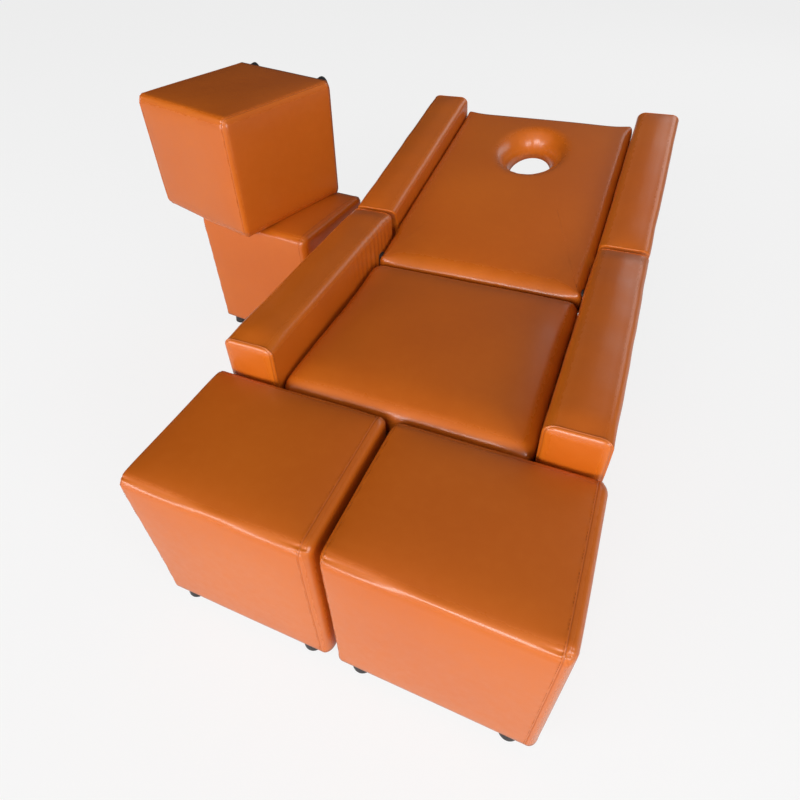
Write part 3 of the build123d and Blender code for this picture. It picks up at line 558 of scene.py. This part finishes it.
inner_box_middle = 0.2185
straight, askew = turned(0), turned(-6.2)
lying = turned(-17.0) @ np.array([[1, 0, 0], [0, 0, -1], [0, 1, 0]])
stools = {"left_ottoman": straight, "right_ottoman": straight, "lower_stool": askew, "upper_stool": lying}
for name, seed in (("left_ottoman", 3), ("right_ottoman", 8), ("lower_stool", 14)):
    stool_cover(name, stools[name], box_middle(name + "_box") * [1, 1, 0], seed)
upper_middle = box_middle("upper_stool_box") - lying[:, 2] * inner_box_middle
stool_cover("upper_stool", lying * [-1, -1, 1], upper_middle, 21)

# Arms: plywood boxes in a padded cover. A panel closes each end, sewn to the long piece
# with a seam set back from the edge, and a second row of stitches runs beside it. Low on
# the inner side the hide lies in upright folds towards the rear.
arm_edge, arm_wall = np.array([0.026, 0.010, 0.026]), 0.0115
arm_seam, second_row = -0.0062, 0.0016
row_near = np.array([0.0004, 0.0010, 0.0016, 0.0022, 0.0028, 0.0036, 0.0048, 0.0062, 0.0080,
                     0.010, 0.013, 0.018])
row_angles = np.array([0, 5, 10, 15, 19.5, 23, 25.5, 27.5, 29.5, 31, 32.5, 34, 35.5, 37, 38.5, 40, 42, 45])
panel_grid = (edge_angles, edge_angles), (row_angles, row_angles, row_near)


def end_seams(core, out, low, high):
    """Distances from an end panel's seam and from the stitched row behind it: along the
    bend beyond the panel's edge, and along the arm inside it."""
    lean = np.arctan2(np.abs(out[:, 1]), np.hypot(out[:, 0], out[:, 2]))
    from_end, from_side = (np.minimum(core[:, k] - low[k], high[k] - core[:, k]) - arm_edge[k] for k in (1, 0))
    beyond = np.minimum(from_side, high[2] - arm_edge[2] - core[:, 2])
    run = arm_edge[1] * lean - from_end + np.where(lean > flat_panel, np.maximum(0, beyond), 0)
    return run + arm_seam, run + second_row


def end_form(seam, row):
    """Relief of an end: the seam's groove and ridges, and a light dent along the stitches."""
    return seam_form(seam) - 0.0004 * hump(row, 0.0010) + 0.0003 * hump(row - 0.003, 0.002)


def end_dark(seam, row):
    """Distance that darkens the seam fully and the stitched row a little."""
    return np.minimum(np.abs(seam), np.abs(row) + 0.0009)


def depth_inside(core, low, high):
    """How far each point lies inside the flat part of an arm's or wing's sides."""
    inside = np.minimum(core - low, high - core) - arm_edge
    inside[:, 2] = high[2] - arm_edge[2] - core[:, 2]
    return inside


def arm_skin(core, out, low, high, seed):
    """Outward swell of an arm's cover, and the distance that darkens its end seams."""
    at = core + out * arm_edge
    flat = inner_share(at, low, high)
    inside = depth_inside(core, low, high)
    top_rise = 0.0075 * foam_rise(inside[:, 0] + 0.004, inside[:, 1], 0.026)
    belly = (out[:, 2] ** 2 * (top_rise - 0.0030 - 0.0052 * hump(inside[:, 1], 0.036))
             + out[:, 0] ** 2 * (0.0034 * foam_rise(inside[:, 1], inside[:, 2], 0.030) - 0.0008)
             + out[:, 1] ** 2 * 0.0030 * foam_rise(inside[:, 0], inside[:, 2], 0.022))
    rear = np.clip((at[:, 1] - high[1] + 0.36) / 0.22, 0, 1)
    upright_folds = np.sin(at[:, 1] * 2 * pi / 0.027 + 2.4 * waves(at, seed + 2, 0.20)) * rear
    toward_seat = np.sign(box_middle("seat_cushion")[0] - (low[0] + high[0]) / 2)
    low_down = np.clip(1.35 - (at[:, 2] - low[2]) / (high[2] - low[2]), 0, 1)
    inner_side = np.clip(out[:, 0] * toward_seat, 0, 1) ** 2
    folds = upright_folds * 0.0020 * inner_side * low_down * flat[:, 1] ** 0.3
    ripple = waves(at * [1, 1.6, 1], seed, 0.22) * 0.0010
    seam, row = end_seams(core, out, low, high)
    return belly + folds + ripple + end_form(seam, row), end_dark(seam, row)


def corners_of(node):
    """The low and the high corner of a CAD node's box."""
    return [np.array(corner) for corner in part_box(node)]


def arm_cover(hand, seed):
    """Make one arm's cover and its stitching."""
    low, high = corners_of(hand + "_arm_cover")
    sharp, faces, core, out, normals = open_box(low, high, arm_edge, (0.009, 0.005, 0.012), *panel_grid)
    swell, seam = arm_skin(core, out, low, high, seed)
    swell *= held_share(core[:, 2] - low[2])
    outer = core + out * arm_edge + normals * swell[:, None]
    inner = np.clip(sharp, low + [arm_wall, arm_wall, 0], high - arm_wall)
    points, quads, marks = walled(outer, inner, faces, sharp, low[2], seam, out)
    cover = surface(hand + "_arm_hide", points, quads, **marks)
    dress(cover, leather, "chair", "arm_leather", hand + "_arm_cover", fill=0.9)

    hold_x, hold_z, tip_x, tip_z = way_over(low, high, arm_edge, 0, 16)
    way = np.column_stack([tip_x, np.zeros(len(tip_x)), tip_z])
    rows = []
    for row_y in (low[1] + arm_edge[1] + second_row, high[1] - arm_edge[1] - second_row):
        hold = np.column_stack([hold_x, np.full(len(tip_x), row_y), hold_z])
        rise, _ = arm_skin(hold, way, low, high, seed)
        rows.append(stitch_row(hold, way, arm_edge, rise, low[2]))
    dress(surface(hand + "_arm_stitching", *joined(rows)), thread, "chair", "arm_leather")


arm_cover("left", 31)
arm_cover("right", 36)

# Wings: the side bolsters of the reclining back, in the same hide as the arms. The front
# end is hollowed about the hinge line, so that it passes round the rear edge of the arm.
hinge = next(joint for joint in frame["joints"] if joint["name"] == "back_hinge")["pos_m"]
lean_back = radians(9.3)
back_turn = np.array([[1, 0, 0], [0, cos(lean_back), -sin(lean_back)], [0, sin(lean_back), cos(lean_back)]])
wing_front, wing_rear, wing_top, wing_bottom = 0.13997, 0.854, 0.0762, -0.0987
half_inner, half_outer = 0.295, 0.425


def eased(share):
    """A share from zero to one that starts and stops softly."""
    return share * share * (3 - 2 * share)


def wing_cover(hand, sign, seed):
    """Make one wing's cover in the back's own frame, then tilt it into place."""
    low = np.array([min(sign * half_inner, sign * half_outer), wing_front, wing_bottom])
    high = np.array([max(sign * half_inner, sign * half_outer), wing_rear, wing_top])
    sharp, faces, core, out, normals = open_box(low, high, arm_edge, (0.009, 0.012, 0.010), *panel_grid)
    at = core + out * arm_edge
    inside = depth_inside(core, low, high)
    ahead, _ = end_seams(core, out, low, high)
    seam, row = end_seams(core, out, low - [0, 1, 0], high)
    swell = (out[:, 2] ** 2 * (0.0075 * foam_rise(inside[:, 0] + 0.004, inside[:, 1], 0.026) - 0.0038)
             + out[:, 0] ** 2 * (0.0026 * foam_rise(inside[:, 1], inside[:, 2], 0.030) - 0.0008)
             + waves(at * [1, 1.6, 1], seed, 0.22) * 0.0010 + end_form(seam, row)
             + 0.0020 * hump(ahead, 0.0026) * (at[:, 1] < (low[1] + high[1]) / 2))
    swell *= held_share(core[:, 2] - low[2])
    outer = at + normals * swell[:, None]
    inner = np.clip(sharp, low + [arm_wall, arm_wall, 0], high - arm_wall)
    points, quads, marks = walled(outer, inner, faces, sharp, low[2], end_dark(seam, row), out)
    above = np.clip(points[:, 2], 0, wing_front * 0.98)
    hollow = np.sqrt(wing_front ** 2 - above ** 2) - wing_front
    points[:, 1] += hollow * (1 - eased(np.clip((points[:, 1] - wing_front) / 0.09, 0, 1)))
    cover = surface(hand + "_wing_hide", points @ back_turn.T + hinge, quads, **marks)
    dress(cover, leather, "backrest", "wing_leather", hand + "_wing_cover", fill=0.9)


wing_cover("left", -1, 41)
wing_cover("right", 1, 46)

# Seat cushion: a thick foam block in hide, crowned, with a full front edge and sides that
# draw in a little between the corners. It lies on the deck between the arms.
seat_edge, seat_crown = np.array([0.036, 0.036, 0.034]), 0.010


def seat_cushion():
    """A crowned block: the top domes, and the sides curve in towards their middle."""
    low, high = corners_of("seat_cushion")
    high[2] -= seat_crown
    faces, core, out, normals = plain_box(low, high, seat_edge, (0.012, 0.012, 0.009))
    at = core + out * seat_edge
    unit = (at - (low + high) / 2) / ((high - low) / 2)
    flat = 1 - np.clip(unit, -1, 1) ** 2
    lift = np.clip((at[:, 2] - low[2]) / (high[2] - low[2]), 0, 1)
    at[:, 2] += lift * seat_crown * flat[:, 0] ** 0.75 * flat[:, 1] ** 0.55
    rear_droop = 0.011 * hump(high[1] - at[:, 1], 0.038) * flat[:, 0] ** 0.3
    at[:, 2] -= lift * (0.011 * hump(at[:, 1] - low[1], 0.055) + rear_droop)
    side_droop = hump(at[:, 0] - low[0], 0.052) + hump(high[0] - at[:, 0], 0.052)
    at[:, 2] -= lift * 0.010 * side_droop * np.clip((high[1] - 0.05 - at[:, 1]) / 0.1, 0, 1)
    at[:, 0] -= np.sign(unit[:, 0]) * np.abs(unit[:, 0]) ** 6 * flat[:, 1] * 0.003
    draw = hump(1 - np.abs(unit[:, 0]), 0.10) + hump(1 + unit[:, 1], 0.12)
    ripple = waves(at, 51, 0.26) * 0.0012 * lift + waves(at, 52, 0.07) * 0.0009 * np.clip(draw, 0, 1) * lift
    at += normals * (ripple * (normals[:, 2] > -0.2))[:, None]
    cushion = surface("seat_cushion_hide", at, faces, seam=np.full(len(at), no_seam), worn=wear(normals, 2.4))
    dress(cushion, leather, "chair", "seat_upholstery", "seat_cushion", fill=0.85)


seat_cushion()

# Front apron: a thin padded strip of hide over the front rail, under the cushion. Only its
# front face is a little uneven, because the back is stapled flat.
def front_apron():
    """A flat padded panel with rounded edges."""
    low, high = corners_of("front_apron")
    edge = 0.0055
    faces, core, _, normals = plain_box(low, high, edge, 0.016)
    at = core + normals * edge
    at += normals * (waves(at, 61, 0.18) * 0.0007)[:, None] * (normals[:, 1:2] < -0.5)
    panel = surface("front_apron_hide", at, faces, seam=np.full(len(at), no_seam), worn=np.zeros(len(at)))
    dress(panel, leather, "chair", "apron_leather", "front_apron", fill=0.9)


front_apron()

# Back pad: a thick crowned pad with a face hole near its head. The hide rolls over the rim
# of the hole in a soft funnel and lines its wall, down through the deck. This wall is painted
# dark as shade.
pad_low, pad_shoulder, pad_crown_height = -0.0485, 0.0213, 0.0095
pad_nose, pad_head, pad_corner, pad_half = -0.031, 0.8535, 0.014, 0.290
pad_side_round, pad_nose_round, pad_drop, pad_foot_round = 0.034, 0.056, 0.028, 0.006
dome_half_width, dome_half_length, dome_middle = 0.293, 0.442, 0.411
hole_at, hole_half_width, hole_half_length = 0.617, 0.0680, 0.1000
funnel_reach, funnel_depth, sleeve_end = 0.064, 0.080, -0.0585


def pad_outline(count):
    """Points evenly round the pad's plan, with inward normals: straight ends, sides that
    step out past the arms, small rounded corners, and a rounding of the upper edge that
    is widest along the nose and tight at the corners."""
    side_points, end_points = 1400, 300
    s = np.linspace(pad_nose, pad_head, side_points)
    half = pad_half + 0.0032 * eased(np.clip((s - 0.100) / 0.045, 0, 1))
    for into in (s - pad_nose, pad_head - s):
        near = np.clip(pad_corner - into, 0, pad_corner)
        half = half - (pad_corner - np.sqrt(pad_corner ** 2 - near ** 2))
    right = np.column_stack([half, s])
    front = np.column_stack([np.linspace(-half[0], half[0], end_points), np.full(end_points, pad_nose)])
    head = np.column_stack([np.linspace(half[-1], -half[-1], end_points), np.full(end_points, pad_head)])
    left = right[::-1] * [-1, 1]
    loop = np.concatenate([front[:-1], right[:-1], head[:-1], left[:-1]])
    closed = np.concatenate([loop, loop[:1]])
    along = np.concatenate([[0], np.cumsum(np.linalg.norm(np.diff(closed, axis=0), axis=1))])
    spots = np.arange(count) * along[-1] / count
    edge = np.column_stack([np.interp(spots, along, closed[:, k]) for k in range(2)])
    ahead = np.roll(edge, -1, axis=0) - np.roll(edge, 1, axis=0)
    ahead /= np.linalg.norm(ahead, axis=1)[:, None]
    from_end = np.minimum(edge[:, 1] - pad_nose, pad_head - edge[:, 1])
    tight = hump(np.hypot(np.abs(edge[:, 0]) - 0.288, from_end), 0.045)
    wide = pad_side_round + (pad_nose_round - pad_side_round) * hump(edge[:, 1] - pad_nose, 0.03)
    roll = wide * (1 - tight) + 0.85 * pad_corner * tight
    return edge, np.column_stack([-ahead[:, 1], ahead[:, 0]]), roll[:, None]


def pad_top(plan):
    """Height of the top: a dome over the plan that sinks in a dish about the hole."""
    across_share = np.clip(np.abs(plan[:, 0]) / dome_half_width, 0, 1)
    along_share = np.clip(np.abs((plan[:, 1] - dome_middle) / dome_half_length), 0, 1)
    dome = pad_crown_height * (1 - across_share ** 2.4) ** 0.8 * (1 - along_share ** 4) ** 0.6
    away = np.hypot(plan[:, 0] / (hole_half_width + 0.045), (plan[:, 1] - hole_at) / (hole_half_length + 0.045))
    return pad_shoulder + dome - 0.0065 * np.exp(-np.clip(away - 0.62, 0, None) ** 2 / 0.09)


def back_pad():
    """Rings from the hole's wall over its lip, out across the top, over the outer edge,
    down the side and back under the pad: one closed surface round the hole."""
    count = 420
    edge, inward, roll = pad_outline(count)
    spin = np.arctan2((edge[:, 1] - hole_at) / hole_half_length, edge[:, 0] / hole_half_width)
    lip = np.column_stack([hole_half_width * np.cos(spin), hole_at + hole_half_length * np.sin(spin)])
    outward = np.column_stack([np.cos(spin) / hole_half_width, np.sin(spin) / hole_half_length])
    outward /= np.linalg.norm(outward, axis=1)[:, None]
    rings, upright = [], []

    def ring(plan, height, normal_up):
        """Add one closed ring of points, and how far up the surface faces there."""
        rings.append(np.column_stack([plan, np.broadcast_to(height, count)]))
        upright.append(np.full(count, normal_up))

    throat = pad_top(lip) - funnel_depth
    for share in np.linspace(0, 1, 7)[:-1]:
        ring(lip, sleeve_end + (throat - sleeve_end) * share, 0.0)
    for turn in np.linspace(pi / 2, 0, 19):
        plan = lip + outward * funnel_reach * (1 - sin(turn) ** 0.85)
        ring(plan, pad_top(plan) - funnel_depth * (1 - cos(turn)), cos(turn))
    shore, bank = lip + outward * funnel_reach, edge + inward * roll
    for share in np.linspace(0, 1, 44)[1:-1]:
        near_bank = share ** 1.25
        plan = shore * (1 - near_bank) + bank * near_bank
        ring(plan, pad_top(plan), 1.0)
    rim_height = pad_top(bank)
    for turn in np.linspace(0, pi / 2, 11):
        ring(bank - inward * roll * sin(turn), rim_height - pad_drop * (1 - cos(turn)), cos(turn))
    for share in np.linspace(0.75, 0.12, 5):
        ring(edge, pad_low + (rim_height - pad_drop - pad_low) * share, 0.0)
    for turn in np.linspace(0, pi / 2, 5):
        height = pad_low + pad_foot_round * (1 - sin(turn))
        ring(edge + inward * pad_foot_round * (1 - cos(turn)), height, -sin(turn))
    foot, under = lip + outward * 0.0035, edge + inward * pad_foot_round
    for share in np.linspace(0, 1, 8)[1:]:
        ring(under * (1 - share) + foot * share, pad_low, -1.0)
    ring(foot, sleeve_end, -1.0)
    points = np.concatenate(rings)
    upper = np.clip(np.concatenate(upright), 0, 1)
    nose = hump(points[:, 1] - pad_nose, 0.06)
    ripple = waves(points, 71, 0.30) * 0.0012 + waves(points * [1.6, 1, 1], 72, 0.09) * 0.0009 * nose
    points[:, 2] += upper * ripple
    points[:, 2] -= 0.003 * hump(points[:, 1] - pad_nose, 0.05) * np.clip((points[:, 2] - pad_low) / 0.07, 0, 1)
    off_x, off_y = points[:, 0] / hole_half_width, (points[:, 1] - hole_at) / hole_half_length
    away, fan = np.hypot(off_x, off_y), np.arctan2(off_y, off_x)
    points[:, 2] += upper * (np.sin(fan * 17 + 2.0 * np.sin(fan * 3)) * 0.0004 * hump(away - 1.25, 0.20))
    rows = len(rings)
    i, j = np.meshgrid(np.arange(rows), np.arange(count), indexing="ij")
    following, beside = (i + 1) % rows, (j + 1) % count
    corners = [i * count + j, following * count + j, following * count + beside, i * count + beside]
    wall = (away < 1.01) & (points[:, 2] > sleeve_end - 0.001)
    # The hole's wall is marked as a seam, so that the hide's seam darkening paints shade over it.
    pad = surface("back_pad_hide", points @ back_turn.T + hinge, np.stack(corners, -1).reshape(-1, 4),
                  seam=np.where(wall, 0.0, no_seam), worn=np.clip(2.2 * upper * (1 - upper) * 2, 0, 1))
    dress(pad, leather, "backrest", "back_upholstery", "back_pad", "face_hole_lining", fill=0.85)


back_pad()

# Underside cloth: thin black cloth stretched under the back's frame, its edges turned in
# and stapled to the rails, with a window cut out for the gas spring's bracket.
cloth_half, cloth_start, cloth_end, cloth_level = 0.265, -0.031, 0.480, -0.0987
window_half, window_start, window_end = 0.030, 0.256, 0.318
cloth_thickness = 0.0009


def cloth_group():
    """Woven cloth: two sets of fine threads that cross, with a dusty unevenness."""
    tree, given, place = new_group("woven_cloth", Color=(0.016, 0.016, 0.017, 1), Threads=420.0)
    threads = {"Vector": place, "Scale": given["Threads"], "Distortion": 0.4}
    weft, warp = (add_node(tree, "TexWave", threads, bands_direction=way).outputs["Fac"] for way in "XY")
    weave = maths(tree, "MAXIMUM", weft, warp)
    share = maths(tree, "MULTIPLY", weave, noise(tree, place, 24.0, 4.0))
    tone = mixed(tree, share, given["Color"], (0.045, 0.045, 0.048, 1))
    return finish_group(tree, tone, mapped(tree, share, 0.0, 1.0, 0.92, 0.80), weave)


def underside_cloth():
    """A grid of points, slack between its stapled edges and drawn in small folds from the
    staples; a second layer and a wall along every free edge give it its thickness."""
    xs = np.concatenate([np.linspace(-cloth_half, cloth_half, 71), [-window_half, window_half]])
    ys = np.concatenate([np.linspace(cloth_start, cloth_end, 69), [window_start, window_end]])
    xs, ys = np.unique(np.round(xs, 6)), np.unique(np.round(ys, 6))
    across, along = (grid.ravel() for grid in np.meshgrid(xs, ys, indexing="ij"))
    edge = np.minimum(cloth_half - np.abs(across), np.minimum(along - cloth_start, cloth_end - along))
    slack = 1 - np.exp(-np.maximum(edge - 0.018, 0) / 0.05)
    folds = np.sin((across + along) * 2 * pi / 0.032) * np.sin((across - along) * 2 * pi / 0.037)
    folds = folds * np.exp(-edge / 0.05) * np.clip(edge / 0.018, 0, 1)
    beside_window = np.maximum(np.abs(across) - window_half, 0)
    past_window = np.maximum(np.abs(along - (window_start + window_end) / 2) - 0.031, 0)
    near_window = np.exp(-np.hypot(beside_window, past_window) / 0.02)
    level = (cloth_level - 0.0004 - 0.0035 * slack * (1 - near_window) - 0.0006 * folds
             - 0.0004 * (waves(np.column_stack([across, along, across * 0]), 81, 0.12) + 1))
    top = np.column_stack([across, along, level])
    i, j = (grid.ravel() for grid in np.meshgrid(np.arange(len(xs) - 1), np.arange(len(ys) - 1), indexing="ij"))
    middle_x, middle_y = (xs[i] + xs[i + 1]) / 2, (ys[j] + ys[j + 1]) / 2
    kept = ~((np.abs(middle_x) < window_half) & (middle_y > window_start) & (middle_y < window_end))
    corner = (i * len(ys) + j)[kept]
    faces = np.column_stack([corner, corner + len(ys), corner + len(ys) + 1, corner + 1])
    starts, stops = faces.ravel(), np.roll(faces, -1, axis=1).ravel()
    count = len(top)
    free = ~np.isin(starts * count + stops, stops * count + starts)
    wall = np.column_stack([starts[free], starts[free] + count, stops[free] + count, stops[free]])
    points = np.concatenate([top, top - [0, 0, cloth_thickness]])
    used, quads = np.unique(np.concatenate([faces, faces[:, ::-1] + count, wall]), return_inverse=True)
    cloth = surface("underside_cloth", points[used] @ back_turn.T + hinge, quads.reshape(-1, 4))
    black_cloth = grouped_material("black_cloth", cloth_group(), {}, bump=0.6, distance=0.0004)
    dress(cloth, black_cloth, "backrest", "lining_cloth", "underside_cover")


underside_cloth()

# Foam: an open-celled slab on each stool's box, under the cover, with its corners worn
# round so that they stay inside the hide.
foam_half, foam_middle, foam_round = np.array([0.2075, 0.1695, 0.0195]), 0.4145, 0.014


def foam_group():
    """Foam: pale, with round cells and a dull surface."""
    tree, given, place = new_group("foam_cells", Color=(0.80, 0.76, 0.62, 1))
    cells = add_node(tree, "TexVoronoi", {"Vector": place, "Scale": 420.0})
    tone = mixed(tree, cells, (0.55, 0.50, 0.38, 1), given["Color"])
    return finish_group(tree, tone, mapped(tree, cells, 0.0, 1.0, 0.9, 0.8), cells)


foam = grouped_material("open_cell_foam", foam_group(), {}, bump=0.6, distance=0.001)
for name, turn in stools.items():
    faces, core, _, normals = plain_box(-foam_half, foam_half, foam_round, 0.03, np.array([0, 15, 30, 45]))
    at = core + normals * foam_round + normals * (waves(core, 5, 0.1) * 0.0004)[:, None]
    spot = box_middle(name + "_box") + turn[:, 2] * (foam_middle - inner_box_middle)
    dress(surface(name + "_foam_slab", at @ turn.T + spot, faces), foam, name, "foam", name + "_foam", fill=1.0)

# Plywood and timber: the boxes, boards, decks and rails, sawn and sanded and left raw. The
# figure is drawn out along each kind of piece.
def wood_group():
    """Wood: long wavy figure along one direction, fine fibres and darker pores."""
    tree, given, place = new_group(
        "wood_figure", Color=(0.60, 0.42, 0.24, 1), Dark=(0.40, 0.25, 0.12, 1), Stretch=(9.0, 0.7, 9.0))
    drawn = add_node(tree, "VectorMath", {0: place, 1: given["Stretch"]}, operation="MULTIPLY")
    fibre = noise(tree, drawn, 60.0, 3.0)
    both = maths(tree, "MULTIPLY", noise(tree, drawn, 3.0, 5.0, Distortion=1.2), fibre)
    tone = mixed(tree, mapped(tree, both, 0.12, 0.38, 0.0, 1.0), given["Dark"], given["Color"])
    return finish_group(tree, tone, mapped(tree, fibre, 0.0, 1.0, 0.62, 0.78), fibre)


def finish(material, *nodes):
    """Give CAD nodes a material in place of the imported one."""
    for name in nodes:
        slots = frame["nodes"][name].data.materials
        slots.clear()
        slots.append(material)


wood = wood_group()
birch = {"Color": (0.66, 0.48, 0.29, 1), "Dark": (0.46, 0.30, 0.16, 1), "Stretch": (6.0, 6.0, 0.8)}
pine = {"Color": (0.70, 0.50, 0.28, 1), "Dark": (0.50, 0.30, 0.13, 1)}
plywood = grouped_material("birch_plywood", wood, birch, bump=0.25)
timber = grouped_material("pine_rail", wood, {**pine, "Stretch": (0.8, 8.0, 8.0)}, bump=0.3)
long_timber = grouped_material("pine_long_rail", wood, {**pine, "Stretch": (8.0, 0.8, 8.0)}, bump=0.3)
finish(plywood, "left_arm_box", "right_arm_box", "arm_base_boards", "seat_deck", "back_deck",
       "left_wing_box", "right_wing_box", "wing_base_boards",
       *[name + piece for name in stools for piece in ("_box", "_base_board")])
finish(timber, "front_rail", "rear_rail", "lower_cross_rail", "back_cross_rails")
finish(long_timber, "seat_cleats", "back_left_rail", "back_right_rail")

# Moulded plastic: the glides under the stools and arms, the shaft's bushes and, softer and
# duller, the rubber grip of the lever.
def plastic_group():
    """Moulded plastic: a fine even texture with slight scuffs."""
    tree, given, place = new_group("moulded", Color=(0.020, 0.020, 0.022, 1), Gloss=0.42)
    worn = mapped(tree, noise(tree, place, 55.0, 5.0), 0.55, 0.8, 0.0, 0.5)
    tone = mixed(tree, worn, given["Color"], (0.07, 0.07, 0.075, 1))
    dull = maths(tree, "MULTIPLY_ADD", worn, 0.3, given["Gloss"])
    return finish_group(tree, tone, dull, noise(tree, place, 900.0, 2.0))


moulded = plastic_group()
glide = grouped_material("black_glide", moulded, {}, bump=0.25)
grip = grouped_material("grip_rubber", moulded, {"Color": (0.012, 0.012, 0.013, 1), "Gloss": 0.62}, bump=0.5)
finish(glide, "chair_feet", "shaft_bushes", *[name + "_feet" for name in stools])
finish(grip, "lever_grip")

# Steel: zinc-plated brackets, screws and bolts, the hard-chromed rod and black tube of the
# gas spring, and the black-coated hinges and release lever.
def steel_group():
    """Plated steel: faint brushing and cloudy zinc, duller where it is handled."""
    tree, given, place = new_group(
        "plated", Color=(0.56, 0.57, 0.58, 1), Gloss=0.32, Cloud=(0.30, 0.30, 0.29, 1))
    share = mapped(tree, noise(tree, place, 60.0, 4.0), 0.35, 0.7, 0.0, 0.25)
    dull = maths(tree, "MULTIPLY_ADD", share, 0.5, given["Gloss"])
    tone = mixed(tree, share, given["Color"], given["Cloud"])
    return finish_group(tree, tone, dull, noise(tree, place, 1200.0, 2.0))


plated = steel_group()
chrome = {"Color": (0.78, 0.79, 0.80, 1), "Gloss": 0.10}
black_tube = {"Color": (0.012, 0.012, 0.013, 1), "Gloss": 0.25, "Cloud": (0.03, 0.03, 0.03, 1)}
black_coat = {"Color": (0.020, 0.020, 0.022, 1), "Gloss": 0.45, "Cloud": (0.03, 0.03, 0.03, 1)}
finish(grouped_material("zinc_plate", plated, {}, bump=0.15, Metallic=1.0),
       "spring_foot_bracket", "chair_screws", "back_screws", "spring_top_bracket", "spring_top_pin",
       "release_head", "wing_bolts")
finish(grouped_material("hard_chrome", plated, chrome, bump=0.03, Metallic=1.0), "gas_rod")
finish(grouped_material("black_tube", plated, black_tube, bump=0.1), "gas_cylinder")
finish(grouped_material("black_lever", plated, black_coat, bump=0.4),
       "release_lever", "fixed_hinge_plates", "hinge_studs", "back_hinge_plates")
